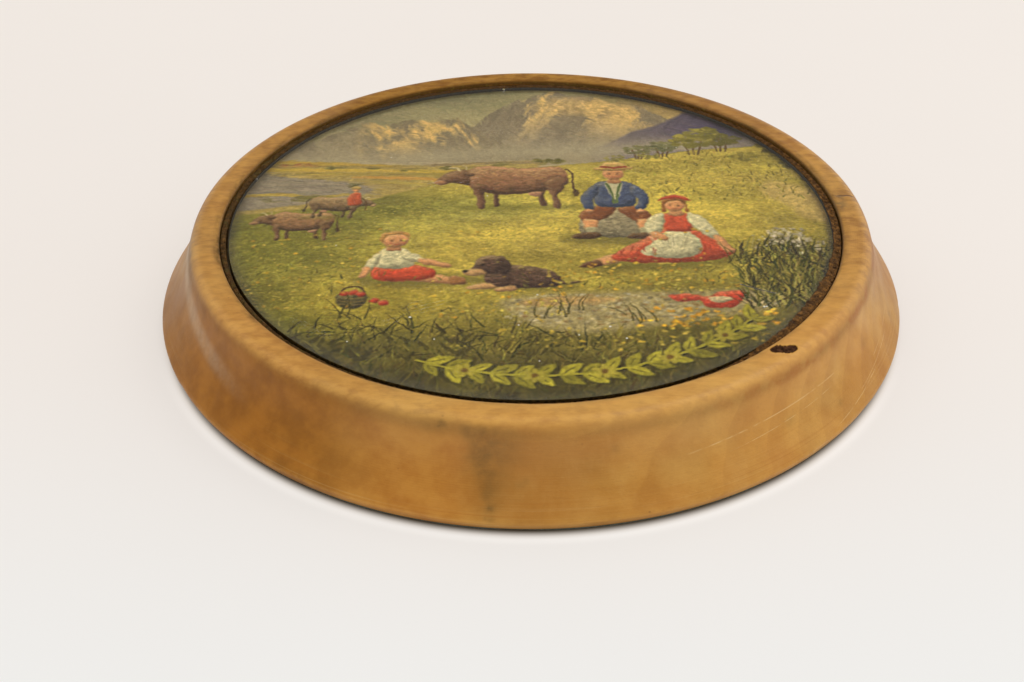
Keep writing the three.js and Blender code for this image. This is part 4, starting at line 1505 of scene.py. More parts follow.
    # the short check across the rim at the right, along the grain, and dirt round its inner end
    rim_only = m.fade(z, RIM_TOP - 1.2, RIM_TOP - 0.5)
    check_y = m.add(10.2, m.mul(m.noise((0.5, 0, 0), detail=2.0), 1.4))
    crack = m.mul(m.band(m.sub(y, check_y), 0.42, 0.10),
                  m.mul(m.fade(x, 83.0, 84.4), m.fade(x, 88.9, 87.6)))
    crack = m.mul(crack, rim_only,
                  m.fade(m.noise((0.9, 0.9, 0.2), (5, 5, 5), detail=2.0), 0.34, 0.46))
    halo = m.mul(m.band(m.sub(y, 7.6), 6.0, 1.5),
                 m.mul(m.fade(x, 82.0, 83.2), m.fade(x, 87.0, 84.2)))
    halo = m.mul(halo, rim_only, m.fade(m.noise((0.5, 0.4, 0.4), (3, 8, 1)), 0.35, 0.6))
    base = m.mix(m.mul(halo, 0.60), base, srgb(86, 70, 38))
    base = m.mix(m.mul(crack, 0.80), base, srgb(92, 54, 26))
    lines = []
    for middle, start, slope, curl, half, width in SCRATCHES:
        off = m.sub(turn, middle)
        path = m.add(start, m.add(m.mul(off, slope), m.mul(off, off, curl)))
        line = m.band(m.sub(along, path), width * 1.7, width * 0.4)
        lines.append(m.mul(line, m.band(off, half, half * 0.7)))
    scratch = m.mul(m.highest(lines), m.fade(m.noise((0.3, 0.3, 0.5), (6, 6, 6)), 0.34, 0.56))
    base = m.mix(m.mul(scratch, 0.34), base, srgb(232, 196, 134))
    # fine turned grooves, pale and dark towards the foot
    groove = m.noise(of=m.vec(m.mul(along, 1.9), m.mul(turn, 1.6), 3.0), rough=0.6)
    pale_groove = m.mul(m.fade(groove, 0.56, 0.70), m.fade(along, 14.0, 2.0))
    base = m.mix(m.mul(pale_groove, 0.15), base, srgb(226, 184, 116))
    dark_groove = m.mul(m.fade(groove, 0.44, 0.32), m.fade(along, 20.0, 3.0))
    base = m.mix(m.mul(dark_groove, 0.24), base, srgb(158, 92, 28))
    # painted shade: in the cove where the rim meets the flank, a warmer, darker band at the right
    seam = m.mul(m.band(m.sub(along, U_COVE_LINE + 0.4), 2.6, 0.2),
                 m.fade(m.noise((0.25, 0.25, 0.25), (8, 1, 6)), 0.38, 0.6))
    seam = m.mul(seam, m.mul(m.fade(turn, -1.25, -0.8), m.fade(turn, 0.3, -0.2)))
    base = m.mix(m.mul(seam, 0.62), base, srgb(158, 92, 20))
    adjust = m.node("ShaderNodeHueSaturation")
    adjust.inputs["Saturation"].default_value = SATURATION
    adjust.inputs["Value"].default_value = BRIGHTNESS
    m.link(base, adjust.inputs["Color"])

    # gloss: an old satin varnish, duller where worn, dirty or open
    satin = m.noise((0.12, 0.12, 0.12), (3, 3, 3), detail=4.0, rough=0.6)
    rough = m.mix_value(m.fade(satin, 0.3, 0.7), 0.34, 0.50)
    for share, value in ((worn, 0.56), (dirt_and_shade, 0.78), (m.mul(fine, 0.6), 0.52), (knot, 0.9)):
        rough = m.mix_value(share, rough, value)
    height = m.add(m.mul(streak, 0.14), m.mul(fine, 0.24))
    for layer, depth in ((fleck, 0.08), (scratch, 0.4), (crack, 3.0)):
        height = m.sub(height, m.mul(layer, depth))
    height = m.add(height, m.mul(grainy, 0.25))
    height = m.sub(height, m.mul(pale_groove, 0.25))
    height = m.add(height, m.mul(dirt_and_shade, dirt, 1.6))
    height = m.add(height, m.mul(m.math("SINE", m.mul(along, 11.0)), 0.03))
    normal = m.bump(height, distance=0.00012, strength=0.9)
    open_knot = (knot, 0.1, 0.6, 1.0, 0.0)
    upper = m.fade(along, U_TOP * 0.35, U_TOP * 0.72, 0.50, 1.0)
    shine = m.mul(m.mul(upper, m.fade(warm, 0.0, 1.0, 1.0, 0.55)), m.fade(*open_knot))
    shine = m.mul(m.mul(m.mix_value(dirt_and_shade, 0.42, 0.2), shine),
                  m.fade(tone_and_light, -1.5, -0.9, 0.35, 1.0))
    coat = m.mul(m.fade(*open_knot), m.fade(tone_and_light, -1.5, -0.9, 0.2, 1.0))
    coat = m.mul(m.mix_value(dirt_and_shade, 0.10, 0.0), coat)
    return m.finish(m.principled(
        Base_Color=adjust.outputs[0], Roughness=rough, Normal=normal, IOR=1.45,
        Specular_IOR_Level=shine, Coat_Weight=coat, Coat_Roughness=0.34, Coat_IOR=1.5,
        Coat_Normal=normal))


install(wood, wood_material(), "turned_frame")

# ---- the putty bead ---------------------------------------------------------------------------
BEAD_SEGMENTS = 1500
BEAD_WALL = RECESS_R - 0.10  # its side against the wood
BEAD_INNER = BEAD_R - 1.7  # its inner edge, just outside the glass
bead_top = resample([
    (BEAD_WALL, BEAD_TOP - 0.55), (RECESS_R - 0.30, BEAD_TOP + 0.05),
    (BEAD_INNER + 1.2, BEAD_TOP + 0.22), (BEAD_INNER + 0.6, BEAD_TOP + 0.20),
    (BEAD_INNER + 0.22, BEAD_TOP - 0.02), (BEAD_INNER, BEAD_TOP - 0.5)], 0.15)
bead_side = resample([(BEAD_INNER, BEAD_TOP - 0.8), (BEAD_INNER, BEAD_LOW)], 0.5)
bead_base = resample([(BEAD_INNER + 0.6, BEAD_LOW), (RECESS_R - 0.3, BEAD_LOW)], 0.7)
bead_back = resample([(BEAD_WALL, BEAD_LOW + 0.3), (BEAD_WALL, BEAD_TOP - 0.9)], 0.5)
bead_r, bead_z = spread_profile(
    np.vstack([bead_top, bead_side, bead_base, bead_back]), BEAD_SEGMENTS)
TOP = len(bead_top)
bead_angle = np.linspace(0, 2 * math.pi, BEAD_SEGMENTS, endpoint=False)
bead_length, bead_turn = np.meshgrid(lengths(bead_top), bead_angle, indexing="ij")
across = bead_length / bead_length[-1, 0]  # 0 at the wood, 1 at the glass


def crumb_noise(seed, frequency, octaves):
    """Noise over the bead's top, with that many cells per mm."""
    r = 81.0 + bead_length
    return fractal(r * np.cos(bead_turn) * frequency + 400,
                   r * np.sin(bead_turn) * frequency + 400, seed, octaves)


def bead_near(deg, width):
    return near_angle(bead_turn, deg, width)


# the bead follows the edge of the glass, which lies off centre
plate_edge = GLASS_R + 0.10 + SHIFT_Y * np.sin(bead_angle)
bead_r = BEAD_WALL - (BEAD_WALL - bead_r) * (BEAD_WALL - plate_edge) / (BEAD_WALL - BEAD_INNER)
crumb = crumb_noise(401, 1.1, 4)
lump = crumb_noise(405, 0.30, 3)
pit = smoothstep(0.60, 0.78, crumb_noise(409, 1.9, 2))
# where the putty has swollen and crumbled most
heave = 0.50 * bead_near(-26, 16) + 0.16 * bead_near(190, 40)
arch = np.sin(clip01(across) * math.pi) ** 0.6
bead_z[:TOP] += arch * (
    0.50 * (crumb - 0.5) + 0.40 * (lump - 0.5) - 0.40 * pit + heave * 0.8 - 0.10)
bead_z[:TOP] = np.clip(bead_z[:TOP], BEAD_LOW + 0.6, RIM_TOP - 0.12)
# the inner edge creeps over the edge of the glass where the putty is heaved up
creep = ((1.5 * bead_near(-30, 15) + 0.4 * bead_near(4, 14))
         * (0.35 + 1.3 * lump) * (0.6 + 0.8 * crumb) * smoothstep(0.50, 1.0, across))
bead_r[:TOP] -= creep
lift = GLASS_TOP + 0.03 + 0.30 * crumb * arch - bead_z[:TOP]
bead_z[:TOP] += np.maximum(smoothstep(0.05, 0.35, creep) * lift, 0)
bead_z[:TOP] = np.minimum(bead_z[:TOP], RIM_TOP - 0.05)
bead_r[:TOP] += 0.10 * (crumb - 0.5) * arch
# shrinkage cracks: away from the wood at the right and the back, from the glass at the left
wood_gap = (0.02 + 0.62 * bead_near(16, 34) + 0.12 * bead_near(-70, 22)
            + 0.20 * bead_near(95, 50)) * (0.5 + lump)
glass_gap = 0.22 * bead_near(192, 40) * (0.6 + 0.8 * crumb)
bead_r[:TOP] -= wood_gap * (1 - smoothstep(0.0, 0.30, across))
bead_r[:TOP] += glass_gap * smoothstep(0.65, 1.0, across)
bead_r[TOP : TOP + len(bead_side)] += glass_gap[-1]
bead_r[-len(bead_back):] -= wood_gap[0]
verts, quads = ring_mesh(bead_r, bead_z)
bead = new_mesh("putty_bead", verts, quads[:, ::-1], sharp_deg=60)
across_all = np.ones(bead_r.shape)
across_all[:TOP] = across
point_attribute(bead, "across", across_all)


def putty_material():
    m = Mat("crumbled_putty")
    x, y, _ = m.xyz()
    across = m.attribute("across")
    coarse = m.noise((0.7, 0.7, 0.7), detail=6.0, rough=0.68)
    fine = m.noise((3.4, 3.4, 3.4), detail=4.0, rough=0.6)
    colour = m.ramp(m.add(m.mul(coarse, 0.7), m.mul(fine, 0.3)), [
        (0.30, srgb(30, 18, 7)), (0.42, srgb(62, 40, 17)), (0.50, srgb(92, 62, 28)),
        (0.60, srgb(132, 90, 42)), (0.72, srgb(176, 130, 70))])
    olive = m.fade(m.noise((0.34, 0.34, 0.34), (8, 8, 8), detail=4.0, rough=0.6), 0.48, 0.66)
    left = m.fade(x, 10.0, -60.0)
    colour = m.mix(m.mul(olive, left, 0.60), colour, srgb(92, 84, 34))
    colour = m.mix(m.mul(left, 0.50), colour, srgb(64, 48, 20))
    # painted shade: the putty is darker towards the back
    colour = m.mix(m.mul(m.fade(y, 20.0, 66.0), 0.66), colour, srgb(70, 46, 16))
    dark_speck = m.fade(m.cells(1.15, (3, 3, 3)), 0.20, 0.10)
    colour = m.mix(m.mul(dark_speck, 0.75), colour, srgb(26, 17, 10))
    pale_speck = m.fade(m.cells(0.9, (9, 5, 3)), 0.16, 0.08)
    colour = m.mix(m.mul(pale_speck, 0.30), colour, srgb(176, 140, 86))
    # painted shadow: a dark line in the corner against the wood, strongest at the right front, and
    # painted shade along the inner edge by the glass
    right = m.mul(m.fade(x, 20.0, 70.0), m.fade(y, -62.0, -30.0))
    corner_shadow = m.mul(m.fade(across, 0.16, 0.0), m.mix_value(right, 0.40, 0.92))
    colour = m.mix(corner_shadow, colour, srgb(12, 8, 4))
    colour = m.mix(m.fade(across, 0.88, 1.0, 0.0, 0.55), colour, srgb(30, 20, 8))
    height = m.add(m.mul(coarse, 1.0), m.add(m.mul(fine, 0.5), m.mul(m.cells(1.5), -0.6)))
    return m.finish(m.principled(
        Base_Color=colour, Roughness=m.fade(fine, 0.3, 0.7, 0.72, 0.95),
        Normal=m.bump(height, distance=0.00045, strength=1.0), IOR=1.4, Specular_IOR_Level=0.22))


install(bead, putty_material(), "glazing_bead")

# ---- the printed picture ----------------------------------------------------------------------
ink = paint_picture()
for axis in (0, 1):
    ink = 0.25 * np.roll(ink, 1, axis) + 0.5 * ink + 0.25 * np.roll(ink, -1, axis)
GRID = 620  # vertices along each side of the square grid that is pressed into a disc
steps = np.linspace(-1, 1, GRID)
grid_u, grid_v = np.meshgrid(steps, steps)
sheet_x = PRINT_R * grid_u * np.sqrt(1 - grid_v**2 / 2)
sheet_y = PRINT_R * grid_v * np.sqrt(1 - grid_u**2 / 2)
sheet_z = PRINT_TOP - 0.03 + 0.03 * ripple(sheet_x / 24, sheet_y / 24, 501, 3)
index = np.arange(GRID * GRID).reshape(GRID, GRID)
top_quads = np.stack([index[:-1, :-1], index[:-1, 1:], index[1:, 1:], index[1:, :-1]], -1)
rim = np.concatenate([index[0, :-1], index[:-1, -1], index[-1, :0:-1], index[:0:-1, 0]])
low = GRID * GRID + np.arange(len(rim))
walls = np.stack([low, np.roll(low, -1), np.roll(rim, -1), rim], -1)
top_verts = np.stack([sheet_x, sheet_y, sheet_z], -1).reshape(-1, 3)
low_verts = top_verts[rim]
low_verts[:, 2] = PRINT_LOW
verts = np.vstack([top_verts, low_verts, [[0, 0, PRINT_LOW]]]) + np.array([0, SHIFT_Y, 0])
hub = len(verts) - 1
faces = np.vstack([top_quads.reshape(-1, 4), walls]).tolist()
faces += [(hub, after, here) for here, after in zip(low.tolist(), np.roll(low, -1).tolist())]
picture = new_mesh("picture_print", verts, faces, sharp_deg=40)

# the painted colour at each vertex, between its four nearest cells
col_at = (verts[:, 0] + HALF) / CELL - 0.5
row_at = (HALF - verts[:, 1]) / CELL - 0.5
col = np.clip(np.floor(col_at).astype(int), 0, CELLS - 2)
row = np.clip(np.floor(row_at).astype(int), 0, CELLS - 2)
share_x, share_y = (col_at - col)[:, None], (row_at - row)[:, None]
vertex_ink = to_linear(mix(mix(ink[row, col], ink[row, col + 1], share_x),
                           mix(ink[row + 1, col], ink[row + 1, col + 1], share_x), share_y))
vertex_ink[GRID * GRID :] = srgb(196, 178, 138)
rgba = np.concatenate([vertex_ink, np.ones((len(verts), 1))], 1).astype(np.float32)
layer = picture.data.color_attributes.new("ink", "FLOAT_COLOR", "POINT")
layer.data.foreach_set("color", rgba.ravel())

INK_GAMMA = 1.0
INK_TINT = (1.42, 1.30, 0.98)


def print_material():
    m = Mat("printed_paper")
    x, y, _ = m.xyz()
    dots = m.noise((2.6, 2.6, 2.6), detail=2.0, rough=0.6)
    fibre = m.noise((0.5, 0.9, 0.5), detail=5.0, rough=0.6)
    gamma = m.node("ShaderNodeGamma")
    m.link(m.attribute("ink", "Color"), gamma.inputs[0])
    gamma.inputs[1].default_value = INK_GAMMA
    colour = gamma.outputs[0]
    for tint in (m.ramp(dots, [(0.3, (0.86, 0.86, 0.86)), (0.7, (1.06, 1.06, 1.06))]),
                 m.ramp(fibre, [(0.3, (0.94, 0.93, 0.90)), (0.7, (1.03, 1.03, 1.03))]),
                 INK_TINT):
        colour = m.mix(1.0, colour, tint, "MULTIPLY")
    # the sheet has browned where the putty touches it
    brown = m.noise((0.22, 0.22, 0.22), (4, 4, 4), detail=4.0, rough=0.6)
    reach = m.add(m.length(x, m.sub(y, SHIFT_Y)), m.mul(m.sub(brown, 0.5), 1.6))
    colour = m.mix(m.fade(reach, 77.6, 80.0, 0.0, 0.62), colour,
                   m.mix(1.0, colour, (0.42, 0.36, 0.22), "MULTIPLY"))
    height = m.add(m.mul(fibre, 0.6), m.mul(dots, 0.25))
    return m.finish(m.principled(
        Base_Color=colour, Roughness=m.fade(fibre, 0.3, 0.7, 0.52, 0.66),
        Normal=m.bump(height, distance=0.00006, strength=0.6), IOR=1.45,
        Specular_IOR_Level=0.04))


install(picture, print_material(), "printed_picture")

# ---- the glass --------------------------------------------------------------------------------
GLASS_SEGMENTS = 720
ROUND = 0.14  # radius of the plate's rounded edges
corners = [
    (GLASS_R - ROUND + ROUND * math.cos(t), middle + ROUND * math.sin(t))
    for middle, start in ((GLASS_LOW + ROUND, -math.pi / 2), (GLASS_TOP - ROUND, 0))
    for t in np.linspace(start, start + math.pi / 2, 5)]
flat_radii = (40.0, GLASS_R - 1.2, GLASS_R - ROUND - 0.03)
glass_profile = np.array([(r, GLASS_LOW) for r in flat_radii] + corners
                         + [(r, GLASS_TOP) for r in reversed(flat_radii)])
glass_r, glass_z = spread_profile(glass_profile, GLASS_SEGMENTS)
glass_angle = np.linspace(0, 2 * math.pi, GLASS_SEGMENTS, endpoint=False)
edge_cut = 0.10 * ripple(10 * np.cos(glass_angle) + 40, 10 * np.sin(glass_angle) + 40, 601, 3)
for deg, width, depth in (  # nibbled places
        (-47, 0.5, 0.25), (12, 0.7, 0.18), (96, 0.4, 0.3), (163, 0.8, 0.22), (-140, 0.5, 0.2)):
    edge_cut -= depth * near_angle(glass_angle, deg, width)
glass_r[2:-2] += edge_cut
glass = turned_disc("glass_disc", glass_r, glass_z, GLASS_LOW, GLASS_TOP, SHIFT_Y, sharp_deg=50)

SPECKS = [  # x, y, radius of each pale speck on the glass
    (-29.6, -47.6, 0.42), (-23.2, -57.0, 0.30), (1.6, -37.6, 0.34), (-3.0, -51.0, 0.30),
    (11.6, -55.2, 0.30), (19.2, -51.6, 0.42), (23.0, -56.6, 0.36), (57.6, -43.0, 0.40),
    (-12.0, 12.0, 0.26), (33.0, -8.0, 0.24), (58.2, -42.8, 0.34), (-51.0, -14.0, 0.24),
    (-40.0, 34.0, 0.26), (42.0, 40.0, 0.24), (2.0, -66.0, 0.26), (-44.0, -58.0, 0.28),
]
HAIR_X, HAIR_Y, HAIR_TURN = 56.9, -35.0, math.radians(-26)  # the middle of the hair


def turned_axes(m, x, y, angle):
    """The distance along a direction and the distance across it."""
    c, s = math.cos(angle), math.sin(angle)
    return m.add(m.mul(x, c), m.mul(y, s)), m.sub(m.mul(y, c), m.mul(x, s))


def glass_material():
    m = Mat("old_glass")
    x, y, z = m.xyz()
    smear = m.noise((0.035, 0.06, 0.05), (1, 5, 2), detail=4.0, rough=0.6, distort=0.8)
    # a few long fine scratches: direction in radians, frequency across, threshold
    lines = []
    for k, (angle, frequency, start) in enumerate(((0.42, 0.9, 0.66), (2.5, 0.8, 0.67))):
        u, v = turned_axes(m, x, y, angle)
        wander = m.noise(of=m.vec(m.mul(u, 0.018), m.mul(v, frequency), 5.0 + k), detail=2.0,
                         distort=0.25)
        breaks = m.noise(of=m.vec(m.mul(u, 0.03), m.mul(v, 0.06), 1.0 + k), detail=2.0)
        lines.append(m.mul(m.band(m.sub(wander, 0.5), 0.0045, 0.0010),
                           m.fade(breaks, start, start + 0.08)))
    scratch = m.highest(lines)
    rough = m.mix_value(m.fade(smear, 0.42, 0.70), 0.03, 0.09)
    wave = m.noise((0.03, 0.03, 0.03), detail=2.0)
    height = m.sub(m.mul(wave, 1.0), m.mul(scratch, 0.04))
    clear = m.principled(
        Base_Color=(0.985, 0.990, 0.975), Roughness=m.mix_value(scratch, rough, 0.3), IOR=1.5,
        Transmission_Weight=1.0, Normal=m.bump(height, distance=0.0004, strength=0.25))
    # a thin film of dust near the edge, the specks and one hair
    reach = m.length(x, m.sub(y, SHIFT_Y))
    film = m.add(m.fade(smear, 0.45, 0.75, 0.0, 0.012), m.fade(reach, 76.0, 80.4, 0.0, 0.03))
    specks = []
    for speck_x, speck_y, radius in SPECKS:
        squares = (m.math("POWER", m.sub(a, b), 2.0) for a, b in ((x, speck_x), (y, speck_y)))
        specks.append(m.fade(m.math("SQRT", m.add(*squares)), radius, radius * 0.6))
    film = m.add(film, m.mul(m.highest(specks), 0.9))
    film = m.add(film, m.mul(scratch, 0.10))
    u, v = turned_axes(m, m.sub(x, HAIR_X), m.sub(y, HAIR_Y), HAIR_TURN)
    hair = m.mul(m.band(m.sub(v, m.mul(u, u, 0.010)), 0.34, 0.12), m.band(u, 5.0, 4.2))
    top_only = m.fade(z, GLASS_TOP - 0.12, GLASS_TOP - 0.03)
    film = m.math("MULTIPLY", m.add(film, m.mul(hair, 0.85)), top_only, clamp=True)
    dust = m.principled(Base_Color=m.mix(hair, srgb(232, 226, 208), srgb(34, 26, 18)),
                        Roughness=0.9)
    # the edge of the plate is dark brown and dull: putty stain and painted shade of the gap at its
    # edge
    blotch = m.noise(scale=1.6, detail=4.0, rough=0.6)
    stained = m.principled(
        Base_Color=m.ramp(blotch, [(0.35, srgb(26, 19, 8)), (0.65, srgb(60, 46, 20))]),
        Roughness=0.9, Specular_IOR_Level=0.0)
    plate = m.mix_shader(m.fade(reach, GLASS_R - 0.26, GLASS_R - 0.14),
                         m.mix_shader(film, clear, dust), stained)
    # lamps light the print through the glass without bending
    through = m.node("ShaderNodeBsdfTransparent")
    through.inputs[0].default_value = (0.93, 0.95, 0.92, 1)
    shadow_ray = m.node("ShaderNodeLightPath").outputs["Is Shadow Ray"]
    return m.finish(m.mix_shader(shadow_ray, plate, through.outputs[0]))


install(glass, glass_material(), "glass_plate")


# ---- the backing card, the board and the pins keep their CAD shapes ---------------------------
def card_material():
    m = Mat("grey_backing_card")
    x, y, z = m.xyz()
    layers = m.noise((0.5, 1.4, 6.0), detail=6.0, rough=0.65)
    fine = m.noise(scale=3.0, rough=0.6)
    colour = m.ramp(m.add(m.mul(layers, 0.7), m.mul(fine, 0.3)), [
        (0.35, srgb(116, 98, 68)), (0.55, srgb(152, 132, 98)), (0.72, srgb(178, 160, 124))])
    colour = m.mix(m.fade(m.length(x, y), 77.0, 81.5, 0.0, 0.8), colour, srgb(48, 34, 18))
    height = m.add(layers, m.mul(m.math("SINE", m.mul(z, 26.0)), 0.2))
    return m.finish(m.principled(
        Base_Color=colour, Roughness=m.fade(fine, 0.3, 0.7, 0.82, 0.95),
        Normal=m.bump(height, distance=0.0002, strength=0.7)))


def board_material():
    m = Mat("sawn_board")
    x, y, _ = m.xyz()
    wobble = m.noise((0.01, 0.02, 0.02), detail=2.0, output="Color")
    bent = m.multiply_add(wobble, (9.0, 9.0, 9.0), m.mm)
    grain = m.noise((0.025, 0.55, 0.9), detail=6.0, rough=0.66, of=bent)
    fine = m.noise((0.2, 3.0, 3.0), detail=4.0, rough=0.6)
    saw_marks = m.math("SINE", m.mul(m.add(x, m.mul(y, 0.12)), 2.4))
    colour = m.ramp(grain, [
        (0.30, srgb(150, 116, 70)), (0.48, srgb(184, 150, 98)), (0.62, srgb(204, 172, 120)),
        (0.78, srgb(166, 124, 72))])
    colour = m.mix(m.fade(fine, 0.5, 0.75, 0.0, 0.4), colour, srgb(126, 92, 54))
    height = m.add(m.add(m.mul(grain, 0.5), m.mul(fine, 0.5)), m.mul(saw_marks, 0.12))
    return m.finish(m.principled(
        Base_Color=colour, Roughness=m.fade(fine, 0.3, 0.7, 0.7, 0.9),
        Normal=m.bump(height, distance=0.00025, strength=0.8)))


def steel_material():
    m = Mat("pin_wire")
    drawn = m.noise((3.0, 3.0, 0.7), detail=4.0, rough=0.6)
    rust = m.fade(m.noise(scale=0.9, detail=4.0, rough=0.65), 0.52, 0.70)
    steel = m.ramp(drawn, [(0.3, srgb(128, 126, 120)), (0.7, srgb(176, 174, 168))])
    return m.finish(m.principled(
        Base_Color=m.mix(m.mul(rust, 0.8), steel, srgb(112, 66, 36)),
        Metallic=m.fade(rust, 0.2, 0.8, 1.0, 0.1),
        Roughness=m.mix_value(rust, m.fade(drawn, 0.3, 0.7, 0.28, 0.45), 0.85),
        Normal=m.bump(drawn, distance=0.00008, strength=0.6)))


card, board, steel = card_material(), board_material(), steel_material()
for name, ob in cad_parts.items():
    if name == "backing_card":
        dress(ob, card)
    elif name == "base_board":
        dress(ob, board)
    elif name.startswith("base_pin"):
        dress(ob, steel)

# ---- the felt ---------------------------------------------------------------------------------
FELT_SEGMENTS = 900
under_radii = [*np.linspace(6, FELT_R - 2, 40), FELT_R - 1.0, FELT_R - 0.35]
UNDER = len(under_radii)
felt_profile = np.array([(r, FELT_LOW + 0.06) for r in under_radii] + [
    (FELT_R - 0.05, FELT_LOW + 0.18), (FELT_R, FELT_LOW + 0.45),
    (FELT_R - 0.04, FELT_TOP - 0.08), (FELT_R - 0.3, FELT_TOP),
    (FELT_R - 3, FELT_TOP), (60, FELT_TOP), (6, FELT_TOP)])
felt_r, felt_z = spread_profile(felt_profile, FELT_SEGMENTS)
felt_angle = np.linspace(0, 2 * math.pi, FELT_SEGMENTS, endpoint=False)
nap = ripple(felt_r * np.cos(felt_angle) / 1.3 + 90, felt_r * np.sin(felt_angle) / 1.3 + 90, 701)
felt_z[:UNDER] = np.maximum(felt_z[:UNDER] + 0.12 * nap[:UNDER], FELT_LOW)
hand_cut = 0.45 * ripple(20 * np.cos(felt_angle) + 60, 20 * np.sin(felt_angle) + 60, 705)
felt_r[UNDER - 1 : UNDER + 4] += hand_cut - 0.12
felt = turned_disc("felt_disc", felt_r, felt_z, FELT_LOW + 0.05, FELT_TOP)


def felt_material():
    m = Mat("green_felt")
    broad = m.noise(scale=0.5, detail=6.0, rough=0.7)
    fuzz = m.noise((3.6, 3.6, 3.6), detail=5.0, rough=0.7, distort=1.6)
    fibre = m.noise((5.0, 0.9, 3.0), rough=0.6, distort=2.0)
    colour = m.ramp(m.add(m.mul(fuzz, 0.55), m.mul(broad, 0.45)), [
        (0.32, srgb(38, 46, 30)), (0.5, srgb(62, 72, 46)), (0.7, srgb(92, 102, 68))])
    colour = m.mix(m.fade(fibre, 0.56, 0.72, 0.0, 0.5), colour, srgb(122, 128, 92))
    bald = m.noise((0.04, 0.04, 0.04), (2, 9, 4), detail=4.0, rough=0.6)
    colour = m.mix(m.fade(bald, 0.56, 0.70, 0.0, 0.45), colour, srgb(104, 98, 70))
    height = m.add(fuzz, m.mul(fibre, 0.7))
    return m.finish(m.principled(
        Base_Color=colour, Roughness=0.95, Sheen_Weight=0.35, Sheen_Roughness=0.5,
        Normal=m.bump(height, distance=0.0005, strength=1.0)))


install(felt, felt_material(), "felt_pad")

# ---- the floor --------------------------------------------------------------------------------
FLOOR_NEAR, FLOOR_FAR = (0.897, 0.912, 0.908), (0.90, 0.838, 0.783)  # linear colours
FLOOR_SHARE = 0.34  # share of the floor's colour that answers to the light
FLOOR_GLOW = 0.62  # emission of the open floor


def floor_material():
    m = Mat("pale_floor")
    x, y, _ = m.xyz()
    cloud = m.noise((0.004, 0.004, 0.004), detail=4.0, rough=0.6)
    colour = m.mix(m.fade(y, -230.0, 10.0), FLOOR_NEAR, FLOOR_FAR)
    colour = m.mix(m.fade(cloud, 0.3, 0.7, 0.0, 0.05), colour, (0.70, 0.66, 0.62))
    reach = m.length(x, y)
    lit = m.mix(1.0, colour, (FLOOR_SHARE,) * 3, "MULTIPLY")
    # painted shade: the floor is darker and browner under the tray
    under = tuple(FLOOR_SHARE * share for share in (0.70, 0.54, 0.34))
    lit = m.mix(m.fade(reach, R_OUT + 1.2, R_OUT - 1.0), lit, under)
    # painted light: a narrow line of glow on the floor along the front of the tray, lifting its
    # shadow
    front = m.mul(m.fade(reach, R_OUT - 0.8, R_OUT + 1.2), m.fade(y, -20.0, -70.0))
    line = m.math("POWER", m.fade(reach, R_OUT + 4.2, R_OUT + 0.8, 0.0, 0.33), 2.0)
    line = m.add(line, m.fade(reach, R_OUT + 7.0, R_OUT + 2.0, 0.0, 0.006))
    glow = m.add(m.fade(reach, R_OUT - 2.2, R_OUT + 0.3, 0.0, FLOOR_GLOW), m.mul(front, line))
    return m.finish(m.principled(
        Base_Color=lit, Roughness=0.6, Specular_IOR_Level=0.2, Emission_Color=colour,
        Emission_Strength=glow))


bpy.ops.mesh.primitive_plane_add(size=16, location=(0, 0, 0))  # metres
floor = bpy.context.object
floor.name = "floor"
dress(floor, floor_material())
floor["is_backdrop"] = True

# ---- world, lamp and camera (metres) ----------------------------------------------------------
DARK_DIRECTION = (0.0, 0.83, 0.56)  # the middle of a dark patch of the world, behind and above
DARK_IN, DARK_OUT = 0.20, 0.60  # the patch fades out between these distances from it
WORLD_LOW, WORLD_HIGH = 0.10, 0.84  # strength inside and outside the patch
WORLD_TINT = (1.0, 0.985, 0.96)
WORLD_LEAN, WORLD_GAIN = (0.5, 0.45, 0.5), 0.62  # the world brightens in this direction

scene = bpy.context.scene
world = bpy.data.worlds.new("studio")
scene.world = world
world.use_nodes = True
world.node_tree.nodes.clear()
link = world.node_tree.links.new


def world_node(kind, operation=None):
    node = world.node_tree.nodes.new(kind)
    if operation:
        node.operation = operation
    return node


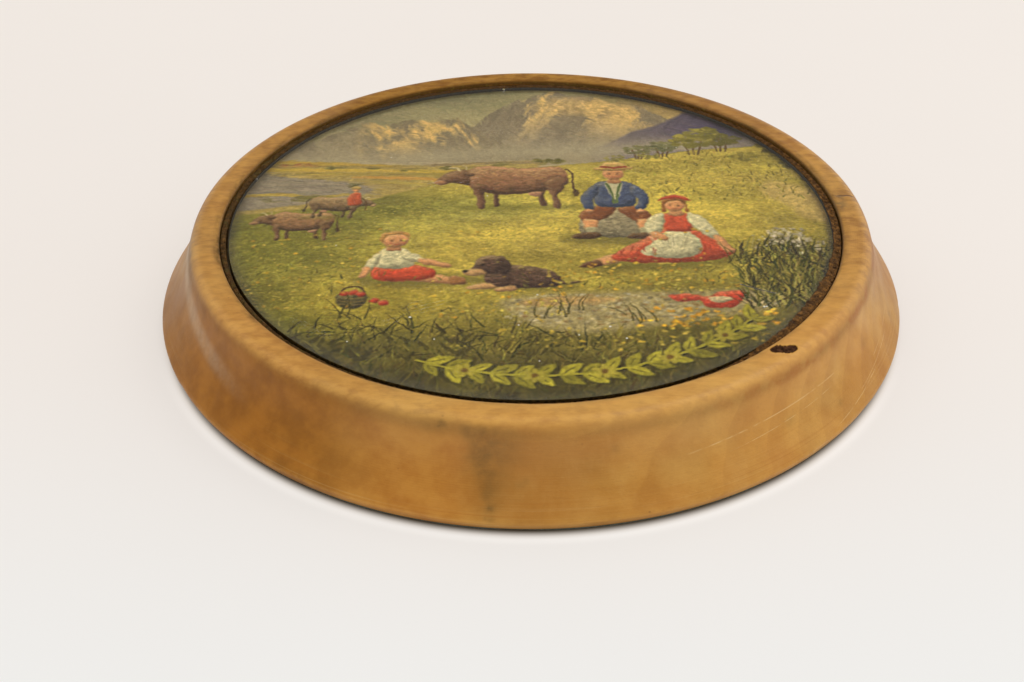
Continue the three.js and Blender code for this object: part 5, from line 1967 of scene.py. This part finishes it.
direction = world_node("ShaderNodeTexCoord").outputs["Generated"]
distance = world_node("ShaderNodeVectorMath", "DISTANCE")
distance.inputs[1].default_value = DARK_DIRECTION
link(direction, distance.inputs[0])
dark = world_node("ShaderNodeMapRange")
dark.interpolation_type = "SMOOTHSTEP"
for key, value in (("From Min", DARK_IN), ("From Max", DARK_OUT), ("To Min", WORLD_LOW),
                   ("To Max", WORLD_HIGH)):
    dark.inputs[key].default_value = value
link(distance.outputs["Value"], dark.inputs["Value"])
lean = world_node("ShaderNodeVectorMath", "DOT_PRODUCT")
lean.inputs[1].default_value = WORLD_LEAN
link(direction, lean.inputs[0])
gain = world_node("ShaderNodeMath", "MULTIPLY_ADD")
gain.inputs[1].default_value = WORLD_GAIN
gain.inputs[2].default_value = 1.0
link(lean.outputs["Value"], gain.inputs[0])
strength = world_node("ShaderNodeMath", "MULTIPLY")
link(gain.outputs[0], strength.inputs[0])
link(dark.outputs[0], strength.inputs[1])
background = world_node("ShaderNodeBackground")
background.inputs["Color"].default_value = (*WORLD_TINT, 1)
link(strength.outputs[0], background.inputs["Strength"])
link(background.outputs[0], world_node("ShaderNodeOutputWorld").inputs["Surface"])

lamp = bpy.data.lights.new("key", "AREA")
lamp.shape = "DISK"
lamp.size = 0.55
lamp.energy = 1.8
lamp.color = (1.0, 0.97, 0.93)
key_lamp = bpy.data.objects.new("key", lamp)
key_lamp.location = (0.55, 0.20, 1.05)
key_lamp.rotation_mode = "QUATERNION"
aim = Vector((0, 0, 0)) - Vector((0.55, 0.20, 1.05))
key_lamp.rotation_quaternion = aim.to_track_quat("-Z", "Y")
scene.collection.objects.link(key_lamp)

lens = bpy.data.cameras.new("cam")
lens.sensor_width = 36
lens.lens = 56.25
lens.shift_x = -0.0185546875
lens.clip_start, lens.clip_end = 0.01, 50
camera = bpy.data.objects.new("cam", lens)
camera.location = (0, -0.3717, 0.2421 + (RIM_TOP - 23.8) * MM)
camera.rotation_euler = (math.radians(90 - 34.89), 0, 0)  # looks 34.89 degrees down
scene.collection.objects.link(camera)
scene.camera = camera
scene.view_settings.view_transform = "Standard"
scene.view_settings.look = "None"

low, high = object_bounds()
